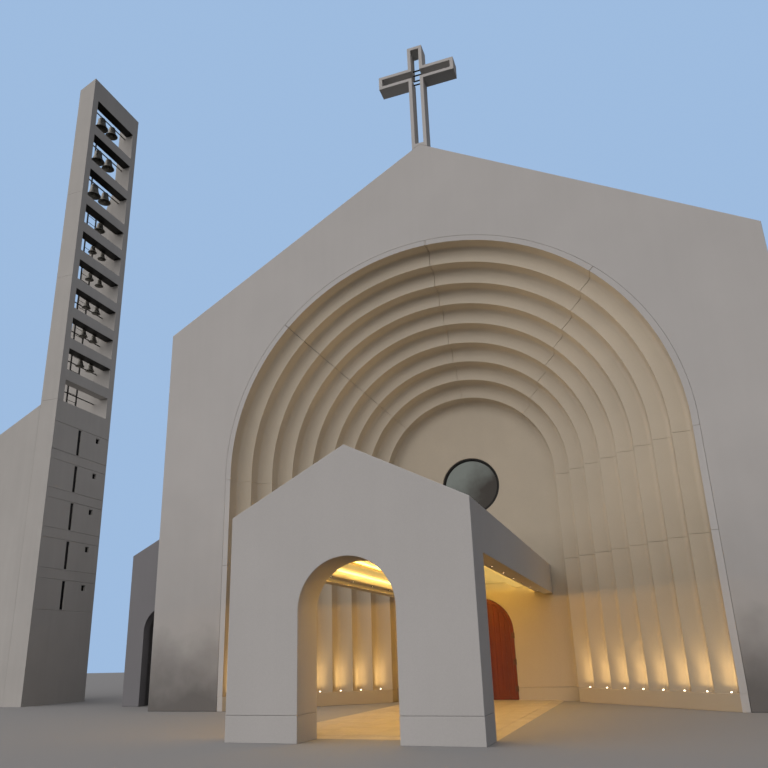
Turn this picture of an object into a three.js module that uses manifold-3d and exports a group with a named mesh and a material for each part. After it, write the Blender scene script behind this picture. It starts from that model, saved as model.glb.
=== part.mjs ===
// A modern church: a gabled front with a deep stepped arch, a gabled porch, an open cross on the ridge,
// a plain nave with two side passages, and a slender bell tower that stands beside it.
// Millimetres, +Z up. X runs along the front, Y runs into the building. The origin is on the ground,
// on the church's axis, in the plane of the main front.
import * as THREE from "three";
import { mergeVertices } from "three/addons/utils/BufferGeometryUtils.js";
import Module from "manifold-3d";

const wasm = await Module();
wasm.setup();

// Joint between faces that are curved or slanted
const GAP = 0.4;
const JOINT_ANGLE = 0.00005;

// Main front
const FRONT_HALF = 11000;
const FRONT_EAVE = 14500;
const FRONT_APEX = 20800;
const WALL = 500;

// Great arch: square steps lead in from the front to the portal wall
const ARCH_SPRING = 8230;
const ARCH_RADIUS = 8000;
const ARCH_BORDER = 200;
const STEP = 575;
const STEP_COUNT = 9;
const INNER_RADIUS = ARCH_RADIUS - STEP * (STEP_COUNT - 1);
const RECESS_DEPTH = STEP * STEP_COUNT;
const ARCH_SHELL = 370;
const ARC_STEPS = 36;
const WEDGE_STEPS = 2;
const PLINTH = 470;

// Portal wall: door and round window
const DOOR_HALF = 1230;
const DOOR_SPRING = 2450;
const WINDOW_CENTRE_Z = 8070;
const WINDOW_RADIUS = 1150;
const WINDOW_RING = 60;
const WINDOW_RING_DEPTH = 160;
const WINDOW_SETBACK = 40;
const GLASS = 24;

// Door leaves and their hinges
const LEAF_CLEARANCE = 10;
const LEAF_MEETING_GAP = 16;
const LEAF_SETBACK = 20;
const LEAF_THICKNESS = 70;
const LEAF_BOTTOM = 50;
const HINGE_RADIUS = 18;
const HINGE_HEIGHT = 200;
const HINGE_REACH = 90;
const HINGE_LEVELS = [420, 1350, 2280];

// Floors: the porch floor runs under the leaves as far as the threshold
const PORCH_FLOOR = 40;
const NAVE_FLOOR = 60;
const THRESHOLD_FRONT = RECESS_DEPTH + LEAF_SETBACK + LEAF_THICKNESS + LEAF_CLEARANCE;

// Porch
const PORCH_FRONT = -8500;
const PORCH_HALF = 2800;
const PORCH_WALL = 1000;
const PORCH_EAVE = 4770;
const PORCH_APEX = 6220;
const PORCH_ARCH_HALF = 1110;
const PORCH_ARCH_SPRING = 2610;
const BEAM_BOTTOM = 3720;
const BEAM_WIDTH = 500;
const CEILING_BOTTOM = 3950;
const CEILING_THICKNESS = 120;
const PORCH_ROOF = 220;

// Cross on the ridge
const CROSS_HALF = 310;
const CROSS_DEPTH = 600;
const CROSS_PLATE = 140;
const CROSS_TOP = 25700;
const CROSS_ARM_HALF = 1585;
const CROSS_ARM_BOTTOM = 24010;
const CROSS_ARM_TOP = 24620;
const CROSS_SLOT_BOTTOM = 20870;

// Nave
const NAVE_END = 28000;
const ROOF_DROP = 200;
const ROOF_THICKNESS = 350;
const CLERESTORY_Z = 10900;
const CLERESTORY_RADIUS = 900;
const CLERESTORY_COUNT = 5;
const CLERESTORY_FIRST = 6800;
const CLERESTORY_PITCH = 4600;
const CLERESTORY_STEPS = 24;

// Side passages
const SIDE_HALF = 14000;
const SIDE_FRONT = 2400;
const SIDE_WALL = 400;
const SIDE_EAVE = 5900;
const SIDE_TOP = 7380;
const SIDE_ROOF_DROP = 100;
const SIDE_ROOF = 200;
const SIDE_ARCH_X = 12300;
const SIDE_ARCH_HALF = 900;
const SIDE_ARCH_SPRING = 2840;
const SIDE_SLIT_HALF = 150;
const SIDE_SLIT_BOTTOM = 2100;
const SIDE_SLIT_TOP = 3800;

// Bell tower
const TOWER_RIGHT = -19000;
const TOWER_WIDTH = 1000;
const TOWER_FRONT = 2290;
const TOWER_DEPTH = 3820;
const TOWER_PIER = 390;
const TOWER_TOP = 32800;
const TOWER_TOP_LEFT = 32300;
const TOWER_PANEL = 200;
const FIRST_SILL = 13680;
const SHORT_OPENING = 1110;
const SHORT_COUNT = 7;
const TALL_OPENING = 1690;
const TALL_COUNT = 3;
const LOWER_STAGE_COUNT = 4;
const BEAM_HEIGHT = 560;
const BEAM_DEPTH = 500;
const SLIT_Y = 4000;
const SLIT_HALF = 100;
const SLIT_HEIGHT = 1280;
const SLIT_FIRST = 4000;
const SLIT_PITCH = 1820;
const SLIT_COUNT = 5;
const SQUARE_Y = 5300;
const SQUARE_HALF = 130;
const SQUARE_FIRST = 4930;
const WING_END = -24600;
const WING_THICKNESS = 1000;
const WING_TOP = 13520;
const WING_SLOPE = 0.532;
const REAR_WING_FOOT = -23500;
const REAR_WING_CORNER = [-21650, 23000];
const REAR_WING_TOP = 28000;

// Bells: each rack is a steel post with one pipe behind every opening
const LARGE_BELL_X = -19600;
const SMALL_BELL_X = -19660;
const POST_X = -19670;
const POST_WIDTH = 100;
const POST_DEPTH = 60;
const POST_Y = 3200;
const PIPE_RADIUS = 35;
const BELL_WALL_RATIO = 0.08;
const BELL_SIDES = 12;
const BARREL_SIDES = 16;
const PIPE_SIDES = 8;

// Colours
const CONCRETE = new THREE.MeshStandardMaterial({ color: 0xa9a49a, roughness: 0.85, metalness: 0 });
const ROOFING = new THREE.MeshStandardMaterial({ color: 0x8f8f8c, roughness: 0.6, metalness: 0.3 });
const PLASTER = new THREE.MeshStandardMaterial({ color: 0xd9cdb4, roughness: 0.9, metalness: 0 });
const PAVING = new THREE.MeshStandardMaterial({ color: 0xb0a894, roughness: 0.8, metalness: 0 });
const WOOD = new THREE.MeshStandardMaterial({ color: 0x7a3414, roughness: 0.45, metalness: 0 });
const DARK_METAL = new THREE.MeshStandardMaterial({ color: 0x34322f, roughness: 0.5, metalness: 0.6 });
const BRONZE = new THREE.MeshStandardMaterial({ color: 0x4d4638, roughness: 0.45, metalness: 0.8 });
const GLAZING = new THREE.MeshStandardMaterial({ color: 0x3c4650, roughness: 0.1, metalness: 0 });

const SIDES = { left: -1, right: 1 };
const AXIS_X = new THREE.Vector3(1, 0, 0);
const AXIS_Y = new THREE.Vector3(0, 1, 0);
const AXIS_Z = new THREE.Vector3(0, 0, 1);

const church = new THREE.Group();

function addPart(parent, name, geometry, material) {
  const mesh = new THREE.Mesh(geometry, material);
  mesh.name = name;
  parent.add(mesh);
}

function solidOf(geometry) {
  const bare = geometry.clone();
  bare.deleteAttribute("normal");
  bare.deleteAttribute("uv");
  const merged = mergeVertices(bare, 1e-3);
  const vertProperties = merged.attributes.position.array;
  const triVerts = new Uint32Array(merged.index.array);
  return new wasm.Manifold(new wasm.Mesh({ numProp: 3, vertProperties, triVerts }));
}

function geometryOf(solid) {
  const mesh = solid.getMesh();
  const geometry = new THREE.BufferGeometry();
  geometry.setAttribute("position", new THREE.BufferAttribute(mesh.vertProperties, 3));
  geometry.setIndex(new THREE.BufferAttribute(mesh.triVerts, 1));
  geometry.computeVertexNormals();
  return geometry;
}

function cut(geometry, ...tools) {
  const rest = tools.reduce((solid, tool) => solid.subtract(solidOf(tool)), solidOf(geometry));
  return geometryOf(rest);
}

function join(first, ...others) {
  const whole = others.reduce((solid, other) => solid.add(solidOf(other)), solidOf(first));
  return geometryOf(whole);
}

// A box between two corners given as [low, high] on each axis, in either order.
function block(x, y, z) {
  const size = [x, y, z].map(([a, b]) => Math.abs(b - a));
  const centre = [x, y, z].map(([a, b]) => (a + b) / 2);
  return new THREE.BoxGeometry(...size).translate(...centre);
}

function outline(points) {
  return new THREE.Shape(points.map(([a, b]) => new THREE.Vector2(a, b)));
}

function extrude(points, length, holes) {
  const shape = outline(points);
  shape.holes = holes.map((hole) => outline(hole));
  return new THREE.ExtrudeGeometry(shape, { depth: length, bevelEnabled: false });
}

// An outline in X and Z, from front to back along Y.
function alongY(points, front, back, holes = []) {
  const turn = new THREE.Matrix4().makeBasis(AXIS_X, AXIS_Z, AXIS_Y.clone().negate());
  return extrude(points, back - front, holes).applyMatrix4(turn).translate(0, back, 0);
}

// An outline in Y and Z, from low to high along X.
function alongX(points, low, high, holes = []) {
  const turn = new THREE.Matrix4().makeBasis(AXIS_Y, AXIS_Z, AXIS_X);
  return extrude(points, high - low, holes).applyMatrix4(turn).translate(low, 0, 0);
}

// An outline in X and Y, from bottom to top.
function alongZ(points, bottom, top) {
  return extrude(points, top - bottom, []).translate(0, 0, bottom);
}

// Points on an arc, angles in radians anticlockwise from the first axis.
function arc(centre, radius, from, to, steps) {
  return Array.from({ length: steps + 1 }, (_, i) => {
    const angle = from + ((to - from) * i) / steps;
    return [centre[0] + radius * Math.cos(angle), centre[1] + radius * Math.sin(angle)];
  });
}

function circle(centre, radius, steps) {
  return arc(centre, radius, 0, 2 * Math.PI, steps).slice(0, steps);
}

function flip(points, side) {
  return points.map(([a, b]) => [a * side, b]);
}

// Section of the great arch: radius from the arch's centre, and depth behind the front.
const borderRadius = ARCH_RADIUS + ARCH_BORDER;
const portalBack = RECESS_DEPTH + WALL;

// The hidden back of the shell slants at 45 degrees: there radius and depth add up to the same sum.
const shellSum = ARCH_RADIUS + STEP + ARCH_SHELL * Math.SQRT2;
const shellInner = INNER_RADIUS + WALL;
const shellBack = [
  [INNER_RADIUS, portalBack],
  [shellInner, portalBack],
  [shellInner, shellSum - shellInner],
  [borderRadius, shellSum - borderRadius],
  [borderRadius, 0],
];

// Each step runs straight back from its arris, then straight in to the next arris.
function stepSection() {
  const points = [[ARCH_RADIUS, 0]];
  for (let step = 0; step < STEP_COUNT; step += 1) {
    const radius = ARCH_RADIUS - STEP * step;
    const depth = STEP * (step + 1);
    points.push([radius, depth]);
    if (radius > INNER_RADIUS) points.push([radius - STEP, depth]);
  }
  return [...points, ...shellBack.slice(1)];
}

const plinthSection = [[ARCH_RADIUS, 0], [INNER_RADIUS, RECESS_DEPTH - STEP], ...shellBack];

function addRecess() {
  const recess = new THREE.Group();
  for (const [name, side] of Object.entries(SIDES)) {
    addPart(recess, `recess_${name}_plinth`, alongZ(flip(plinthSection, side), 0, PLINTH), CONCRETE);
    addPart(recess, `recess_${name}_jamb`, alongZ(flip(stepSection(), side), PLINTH, ARCH_SPRING), CONCRETE);
  }
  // The arch is a ring turned about the axis through the springing, cut into four stones.
  // A wedge only has to reach past the ring, so its outer edge is drawn with few steps.
  const section = stepSection().reverse();
  const profile = [...section, section[0]].map(([radius, depth]) => new THREE.Vector2(radius, depth));
  const ring = solidOf(new THREE.LatheGeometry(profile, 2 * ARC_STEPS));
  const reach = 2 * ARCH_RADIUS;
  const eighth = Math.PI / 4;
  const stones = {
    recess_arch_right_foot: [0, eighth - JOINT_ANGLE],
    recess_arch_right_crown: [eighth + JOINT_ANGLE, 2 * eighth],
    recess_arch_left_crown: [2 * eighth, 3 * eighth - JOINT_ANGLE],
    recess_arch_left_foot: [3 * eighth + JOINT_ANGLE, 4 * eighth],
  };
  for (const [name, [from, to]] of Object.entries(stones)) {
    const wedge = alongY([[0, 0], ...arc([0, 0], reach, from, to, WEDGE_STEPS)], -WALL, portalBack + WALL);
    const stone = geometryOf(ring.intersect(solidOf(wedge)));
    addPart(recess, name, stone.translate(0, 0, ARCH_SPRING), CONCRETE);
  }
  church.add(recess);
}

function addFront() {
  const front = new THREE.Group();
  for (const [name, side] of Object.entries(SIDES)) {
    const pier = block([side * borderRadius, side * FRONT_HALF], [0, WALL], [0, ARCH_SPRING]);
    addPart(front, `front_${name}_pier`, pier, CONCRETE);
    const quarter = arc([0, ARCH_SPRING], borderRadius + GAP, 0, Math.PI / 2, ARC_STEPS / 2);
    const half = [
      ...quarter,
      [0, FRONT_APEX],
      [FRONT_HALF, FRONT_EAVE],
      [FRONT_HALF, ARCH_SPRING],
    ];
    addPart(front, `front_${name}_gable`, alongY(flip(half, side), 0, WALL), CONCRETE);
  }
  church.add(front);
}

function addPortal() {
  const portal = new THREE.Group();
  const half = INNER_RADIUS - GAP;
  for (const [name, side] of Object.entries(SIDES)) {
    const pier = block([side * DOOR_HALF, side * half], [RECESS_DEPTH, portalBack], [0, DOOR_SPRING]);
    addPart(portal, `portal_${name}_wall`, pier, CONCRETE);
  }
  const window = [0, WINDOW_CENTRE_Z];
  const upper = [
    ...arc([0, DOOR_SPRING], DOOR_HALF, Math.PI, 0, ARC_STEPS),
    [half, DOOR_SPRING],
    ...arc([0, ARCH_SPRING], half, 0, Math.PI, ARC_STEPS),
    [-half, DOOR_SPRING],
  ];
  const opening = circle(window, WINDOW_RADIUS, ARC_STEPS);
  addPart(portal, "portal_upper_wall", alongY(upper, RECESS_DEPTH, portalBack, [opening]), CONCRETE);
  const ringFront = RECESS_DEPTH + WINDOW_SETBACK;
  const paneRadius = WINDOW_RADIUS - WINDOW_RING;
  const ring = alongY(
    circle(window, WINDOW_RADIUS - GAP, ARC_STEPS),
    ringFront,
    ringFront + WINDOW_RING_DEPTH,
    [circle(window, paneRadius, ARC_STEPS)],
  );
  addPart(portal, "round_window_frame", ring, DARK_METAL);
  const paneFront = ringFront + WINDOW_RING_DEPTH / 2;
  const pane = alongY(circle(window, paneRadius - GAP, ARC_STEPS), paneFront, paneFront + GLASS);
  addPart(portal, "round_window_glass", pane, GLAZING);
  church.add(portal);
}

// Each leaf hangs on barrels that stand just in front of the portal wall, and swings out.
function addDoors() {
  const doors = new THREE.Group();
  const leafFront = RECESS_DEPTH + LEAF_SETBACK;
  const leafRadius = DOOR_HALF - LEAF_CLEARANCE;
  const inner = LEAF_MEETING_GAP / 2;
  const hingeY = RECESS_DEPTH - HINGE_RADIUS - GAP;
  for (const [name, side] of Object.entries(SIDES)) {
    const headEnd = Math.acos(inner / leafRadius);
    const head = arc([0, DOOR_SPRING], leafRadius, 0, headEnd, ARC_STEPS / 2);
    const panel = [[inner, LEAF_BOTTOM], [leafRadius, LEAF_BOTTOM], ...head];
    const leaf = alongY(flip(panel, side), leafFront, leafFront + LEAF_THICKNESS);
    const hinges = HINGE_LEVELS.flatMap((level) => {
      const heights = [level - HINGE_HEIGHT / 2, level + HINGE_HEIGHT / 2];
      const barrel = new THREE.CylinderGeometry(HINGE_RADIUS, HINGE_RADIUS, HINGE_HEIGHT, BARREL_SIDES);
      barrel.rotateX(Math.PI / 2).translate(side * DOOR_HALF, hingeY, level);
      const strapX = [side * (DOOR_HALF - HINGE_REACH), side * DOOR_HALF];
      const strap = block(strapX, [hingeY - HINGE_RADIUS / 2, hingeY + HINGE_RADIUS / 2], heights);
      const footX = [side * (DOOR_HALF - HINGE_REACH), side * (leafRadius - LEAF_CLEARANCE)];
      const foot = block(footX, [hingeY, leafFront + HINGE_RADIUS], heights);
      return [barrel, strap, foot];
    });
    addPart(doors, `door_${name}_leaf`, join(leaf, ...hinges), WOOD);
  }
  church.add(doors);
}

function addPorch() {
  const porch = new THREE.Group();
  const wallBack = PORCH_FRONT + PORCH_WALL;
  const slope = (PORCH_APEX - PORCH_EAVE) / PORCH_HALF;
  const beamInside = PORCH_HALF - BEAM_WIDTH;
  for (const [name, side] of Object.entries(SIDES)) {
    const pierX = [side * PORCH_ARCH_HALF, side * PORCH_HALF];
    const pier = block(pierX, [PORCH_FRONT, wallBack], [0, PORCH_ARCH_SPRING]);
    addPart(porch, `porch_${name}_pier`, pier, CONCRETE);
    const roofSoffit = PORCH_EAVE - PORCH_ROOF;
    const beam = [
      [beamInside, BEAM_BOTTOM],
      [PORCH_HALF, BEAM_BOTTOM],
      [PORCH_HALF, roofSoffit - GAP],
      [beamInside, roofSoffit + slope * BEAM_WIDTH - GAP],
    ];
    addPart(porch, `porch_${name}_beam`, alongY(flip(beam, side), wallBack, RECESS_DEPTH), CONCRETE);
    const roof = [
      [PORCH_HALF, roofSoffit],
      [PORCH_HALF, PORCH_EAVE],
      [0, PORCH_APEX],
      [0, PORCH_APEX - PORCH_ROOF],
    ];
    addPart(porch, `porch_${name}_roof`, alongY(flip(roof, side), wallBack, RECESS_DEPTH), CONCRETE);
  }
  const gable = [
    ...arc([0, PORCH_ARCH_SPRING], PORCH_ARCH_HALF, Math.PI, 0, ARC_STEPS),
    [PORCH_HALF, PORCH_ARCH_SPRING],
    [PORCH_HALF, PORCH_EAVE],
    [0, PORCH_APEX],
    [-PORCH_HALF, PORCH_EAVE],
    [-PORCH_HALF, PORCH_ARCH_SPRING],
  ];
  addPart(porch, "porch_gable", alongY(gable, PORCH_FRONT, wallBack), CONCRETE);
  const ceilingZ = [CEILING_BOTTOM, CEILING_BOTTOM + CEILING_THICKNESS];
  const ceiling = block([-beamInside, beamInside], [wallBack, RECESS_DEPTH], ceilingZ);
  addPart(porch, "porch_ceiling", ceiling, PLASTER);
  const floor = join(
    block([-PORCH_HALF, PORCH_HALF], [wallBack, RECESS_DEPTH], [0, PORCH_FLOOR]),
    block([-DOOR_HALF, DOOR_HALF], [RECESS_DEPTH, THRESHOLD_FRONT], [0, PORCH_FLOOR]),
  );
  addPart(porch, "porch_floor", floor, PAVING);
  church.add(porch);
}

// The cross is a frame of plates: a cross-shaped outline with a cross-shaped slot through it.
// Its foot is cut to sit over the ridge of the front wall.
function addCross() {
  const slotHalf = CROSS_HALF - CROSS_PLATE;
  const slope = (FRONT_APEX - FRONT_EAVE) / FRONT_HALF;
  const half = (shaft, arm, bottom, top, armBottom, armTop) => [
    [shaft, bottom],
    [shaft, armBottom],
    [arm, armBottom],
    [arm, armTop],
    [shaft, armTop],
    [shaft, top],
  ];
  const both = (points) => [...points, ...flip(points, -1).reverse()];
  const foot = FRONT_APEX + GAP;
  const footSide = foot - slope * CROSS_HALF;
  const frame = half(CROSS_HALF, CROSS_ARM_HALF, footSide, CROSS_TOP, CROSS_ARM_BOTTOM, CROSS_ARM_TOP);
  const outer = [...both(frame), [0, foot]];
  const slot = both(
    half(
      slotHalf,
      CROSS_ARM_HALF - CROSS_PLATE,
      CROSS_SLOT_BOTTOM,
      CROSS_TOP - CROSS_PLATE,
      CROSS_ARM_BOTTOM + CROSS_PLATE,
      CROSS_ARM_TOP - CROSS_PLATE,
    ),
  );
  addPart(church, "cross", alongY(outer, 0, CROSS_DEPTH, [slot]), CONCRETE);
}

function clerestoryCentres() {
  return Array.from({ length: CLERESTORY_COUNT }, (_, i) => CLERESTORY_FIRST + i * CLERESTORY_PITCH);
}

function addNave() {
  const nave = new THREE.Group();
  const slope = (FRONT_APEX - FRONT_EAVE) / FRONT_HALF;
  const rearFace = NAVE_END - WALL;
  const roofTop = FRONT_EAVE - ROOF_DROP;
  const soffit = roofTop - ROOF_THICKNESS;
  const ridge = FRONT_APEX - ROOF_DROP;
  for (const [name, side] of Object.entries(SIDES)) {
    const section = [
      [FRONT_HALF - WALL, 0],
      [FRONT_HALF, 0],
      [FRONT_HALF, soffit - GAP],
      [FRONT_HALF - WALL, soffit + slope * WALL - GAP],
    ];
    const wall = alongY(flip(section, side), WALL, rearFace);
    const sides = [side * (FRONT_HALF - 2 * WALL), side * (FRONT_HALF + WALL)].sort((a, b) => a - b);
    const holes = clerestoryCentres().map((y) =>
      alongX(circle([y, CLERESTORY_Z], CLERESTORY_RADIUS, CLERESTORY_STEPS), ...sides),
    );
    addPart(nave, `nave_${name}_wall`, cut(wall, ...holes), CONCRETE);
    const roof = [
      [0, ridge - ROOF_THICKNESS],
      [FRONT_HALF, soffit],
      [FRONT_HALF, roofTop],
      [0, ridge],
    ];
    addPart(nave, `nave_${name}_roof`, alongY(flip(roof, side), WALL, rearFace), ROOFING);
    const paneX = side * (FRONT_HALF - WALL - GLASS - GAP);
    const centres = clerestoryCentres();
    const paneReach = CLERESTORY_RADIUS + WALL / 2;
    const paneY = [centres[0] - paneReach, centres[CLERESTORY_COUNT - 1] + paneReach];
    const paneZ = [CLERESTORY_Z - paneReach, CLERESTORY_Z + paneReach];
    addPart(nave, `nave_${name}_glass`, block([paneX, paneX + side * GLASS], paneY, paneZ), GLAZING);
  }
  const rear = [
    [SIDE_HALF, 0],
    [SIDE_HALF, SIDE_EAVE],
    [FRONT_HALF, SIDE_TOP],
    [FRONT_HALF, FRONT_EAVE],
    [0, FRONT_APEX],
    ...flip([[FRONT_HALF, FRONT_EAVE], [FRONT_HALF, SIDE_TOP], [SIDE_HALF, SIDE_EAVE], [SIDE_HALF, 0]], -1),
  ];
  addPart(nave, "nave_rear_wall", alongY(rear, rearFace, NAVE_END), CONCRETE);
  // The floor runs out under the doorway as its threshold.
  const inside = FRONT_HALF - WALL;
  const floor = join(
    block([-inside, inside], [portalBack, rearFace], [0, NAVE_FLOOR]),
    block([-DOOR_HALF, DOOR_HALF], [THRESHOLD_FRONT, portalBack], [0, NAVE_FLOOR]),
  );
  addPart(nave, "nave_floor", floor, PAVING);
  church.add(nave);
}

function addSidePassages() {
  const passages = new THREE.Group();
  const slope = (SIDE_TOP - SIDE_EAVE) / (SIDE_HALF - FRONT_HALF);
  const wallBack = SIDE_FRONT + SIDE_WALL;
  const rearFace = NAVE_END - WALL;
  const roofTop = SIDE_EAVE - SIDE_ROOF_DROP;
  const soffit = roofTop - SIDE_ROOF;
  for (const [name, side] of Object.entries(SIDES)) {
    const face = [
      [FRONT_HALF, 0],
      [SIDE_ARCH_X - SIDE_ARCH_HALF, 0],
      ...arc([SIDE_ARCH_X, SIDE_ARCH_SPRING], SIDE_ARCH_HALF, Math.PI, 0, ARC_STEPS / 2),
      [SIDE_ARCH_X + SIDE_ARCH_HALF, 0],
      [SIDE_HALF, 0],
      [SIDE_HALF, SIDE_EAVE],
      [FRONT_HALF, SIDE_TOP],
    ];
    addPart(passages, `side_${name}_front_wall`, alongY(flip(face, side), SIDE_FRONT, wallBack), CONCRETE);
    const section = [
      [SIDE_HALF - SIDE_WALL, 0],
      [SIDE_HALF, 0],
      [SIDE_HALF, soffit - GAP],
      [SIDE_HALF - SIDE_WALL, soffit + slope * SIDE_WALL - GAP],
    ];
    const wall = alongY(flip(section, side), wallBack, rearFace);
    const slitX = [side * (SIDE_HALF - 2 * SIDE_WALL), side * (SIDE_HALF + SIDE_WALL)];
    const slits = clerestoryCentres().map((y) =>
      block(slitX, [y - SIDE_SLIT_HALF, y + SIDE_SLIT_HALF], [SIDE_SLIT_BOTTOM, SIDE_SLIT_TOP]),
    );
    addPart(passages, `side_${name}_outer_wall`, cut(wall, ...slits), CONCRETE);
    const lift = slope * (SIDE_HALF - FRONT_HALF);
    const roof = [
      [FRONT_HALF, soffit + lift],
      [SIDE_HALF, soffit],
      [SIDE_HALF, roofTop],
      [FRONT_HALF, roofTop + lift],
    ];
    addPart(passages, `side_${name}_roof`, alongY(flip(roof, side), wallBack, rearFace), ROOFING);
  }
  church.add(passages);
}

// Belfry openings from the bottom up: the short ones, then the tall ones.
function belfryOpenings() {
  const heights = [
    ...Array(SHORT_COUNT).fill(SHORT_OPENING),
    ...Array(TALL_COUNT).fill(TALL_OPENING),
  ];
  let sill = FIRST_SILL;
  return heights.map((height) => {
    const tall = height === TALL_OPENING;
    const opening = { sill, head: sill + height, tall };
    sill += height + BEAM_HEIGHT;
    return opening;
  });
}

const towerLeft = TOWER_RIGHT - TOWER_WIDTH;
const towerBack = TOWER_FRONT + TOWER_DEPTH;
const openingY = [TOWER_FRONT + TOWER_PIER, towerBack - TOWER_PIER];

function addTower() {
  const tower = new THREE.Group();
  const openings = belfryOpenings();
  const fullX = [towerLeft, TOWER_RIGHT];
  const fullY = [TOWER_FRONT, towerBack];
  const shaft = block(fullX, fullY, [0, FIRST_SILL]);
  const hollowX = [towerLeft + TOWER_PANEL, TOWER_RIGHT - TOWER_PANEL];
  const hollow = block(hollowX, openingY, [TOWER_PANEL, FIRST_SILL - TOWER_PANEL]);
  const windowX = [towerLeft - TOWER_PANEL, TOWER_RIGHT + TOWER_PANEL];
  const windows = Array.from({ length: SLIT_COUNT }, (_, i) => {
    const slit = SLIT_FIRST + i * SLIT_PITCH;
    const square = SQUARE_FIRST + i * SLIT_PITCH;
    return [
      block(windowX, [SLIT_Y - SLIT_HALF, SLIT_Y + SLIT_HALF], [slit, slit + SLIT_HEIGHT]),
      block(windowX, [SQUARE_Y - SQUARE_HALF, SQUARE_Y + SQUARE_HALF], [square, square + 2 * SQUARE_HALF]),
    ];
  }).flat();
  addPart(tower, "tower_shaft", cut(shaft, hollow, ...windows), CONCRETE);

  // Each stage is a ladder: two piers and a beam over every opening, flush with the right face.
  const stages = {
    tower_lower_belfry: openings.slice(0, LOWER_STAGE_COUNT),
    tower_middle_belfry: openings.slice(LOWER_STAGE_COUNT, SHORT_COUNT),
    tower_upper_belfry: openings.slice(SHORT_COUNT),
  };
  const aboveTop = [
    [towerLeft, TOWER_TOP_LEFT],
    [TOWER_RIGHT, TOWER_TOP],
    [towerLeft, TOWER_TOP],
  ];
  for (const [name, stage] of Object.entries(stages)) {
    const bottom = stage[0].sill;
    const last = stage === stages.tower_upper_belfry;
    const top = last ? TOWER_TOP : stage[stage.length - 1].head + BEAM_HEIGHT;
    const piers = [
      block(fullX, [TOWER_FRONT, openingY[0]], [bottom, top]),
      block(fullX, [openingY[1], towerBack], [bottom, top]),
    ];
    const beams = stage.map(({ head }, i) => {
      const beamTop = last && i === stage.length - 1 ? TOWER_TOP : head + BEAM_HEIGHT;
      return block([TOWER_RIGHT - BEAM_DEPTH, TOWER_RIGHT], openingY, [head, beamTop]);
    });
    let ladder = join(...piers, ...beams);
    if (last) ladder = cut(ladder, alongY(aboveTop, ...fullY));
    addPart(tower, name, ladder, CONCRETE);
  }

  const wing = [
    [WING_END, 0],
    [towerLeft, 0],
    [towerLeft, WING_TOP],
    [WING_END, WING_TOP - (towerLeft - WING_END) * WING_SLOPE],
  ];
  addPart(tower, "tower_wing_wall", alongY(wing, TOWER_FRONT, TOWER_FRONT + WING_THICKNESS), CONCRETE);

  // A taller, steeper fin stands behind the belfry, flush with the back piers.
  const rearWing = [
    [REAR_WING_FOOT, 0],
    [towerLeft, 0],
    [towerLeft, REAR_WING_TOP],
    REAR_WING_CORNER,
  ];
  addPart(tower, "tower_rear_wing_wall", alongY(rearWing, openingY[1], towerBack), CONCRETE);
  church.add(tower);
}

// Half section of a bell from the crown down the outside, round the lip and up the inside.
function bell(radius, height, wall) {
  const outside = [[0, 1], [0.46, 0.93], [0.57, 0.55], [0.76, 0.17], [1, 0]];
  const inside = outside.slice(1, -1).reverse().map(([r, h]) => [r * radius - wall, h * height - wall / 2]);
  const section = [
    ...outside.map(([r, h]) => [r * radius, h * height]),
    [radius - wall, 0],
    ...inside,
    [0, height - 2 * wall],
  ];
  const profile = section.reverse().map(([r, h]) => new THREE.Vector2(r, h));
  return new THREE.LatheGeometry(profile, BELL_SIDES).rotateX(Math.PI / 2);
}

const LARGE_BELLS = [
  { y: 3750, radius: 390, height: 700, mouth: 900 },
  { y: 4620, radius: 350, height: 600, mouth: 760 },
];
const MIDDLE_BELL = [{ y: 4550, radius: 300, height: 480, mouth: 400 }];
const SMALL_BELLS = [
  { y: 4200, radius: 230, height: 370, mouth: 290 },
  { y: 4950, radius: 230, height: 370, mouth: 290 },
];

// A steel post with one pipe behind each opening, and the bells that hang from it.
function bellRack(openings, bellsFor, bottom, top) {
  const post = block(
    [POST_X - POST_WIDTH / 2, POST_X + POST_WIDTH / 2],
    [POST_Y - POST_DEPTH / 2, POST_Y + POST_DEPTH / 2],
    [bottom, top],
  );
  const pieces = openings.flatMap((opening) => {
    const bells = bellsFor(opening);
    const x = opening.tall ? LARGE_BELL_X : SMALL_BELL_X;
    const crown = opening.head - bells[0].mouth + bells[0].height;
    const pipeZ = crown + 2 * PIPE_RADIUS;
    const span = openingY[1] - openingY[0] - 2 * GAP;
    const pipe = new THREE.CylinderGeometry(PIPE_RADIUS, PIPE_RADIUS, span, PIPE_SIDES);
    pipe.translate(x, (openingY[0] + openingY[1]) / 2, pipeZ);
    const hung = bells.flatMap(({ y, radius, height, mouth }) => {
      const lip = opening.head - mouth;
      const loopLength = pipeZ - lip - height + PIPE_RADIUS;
      const loop = new THREE.CylinderGeometry(PIPE_RADIUS, PIPE_RADIUS, loopLength, PIPE_SIDES);
      loop.rotateX(Math.PI / 2).translate(x, y, pipeZ - loopLength / 2);
      return [bell(radius, height, radius * BELL_WALL_RATIO).translate(x, y, lip), loop];
    });
    return [pipe, ...hung];
  });
  return join(post, ...pieces);
}

function addBells() {
  const bells = new THREE.Group();
  const openings = belfryOpenings();
  const [tall, short] = [openings.filter((o) => o.tall), openings.filter((o) => !o.tall)];
  const highest = short[short.length - 1];
  const shortRack = bellRack(
    short.slice(1),
    (opening) => (opening === highest ? MIDDLE_BELL : SMALL_BELLS),
    FIRST_SILL,
    highest.head + BEAM_HEIGHT,
  );
  addPart(bells, "bells_short_openings", shortRack, BRONZE);
  const postTop = tall[TALL_COUNT - 1].head + BEAM_HEIGHT / 2;
  const tallRack = bellRack(tall, () => LARGE_BELLS, tall[0].sill, postTop);
  addPart(bells, "bells_tall_openings", tallRack, BRONZE);
  church.add(bells);
}

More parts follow.
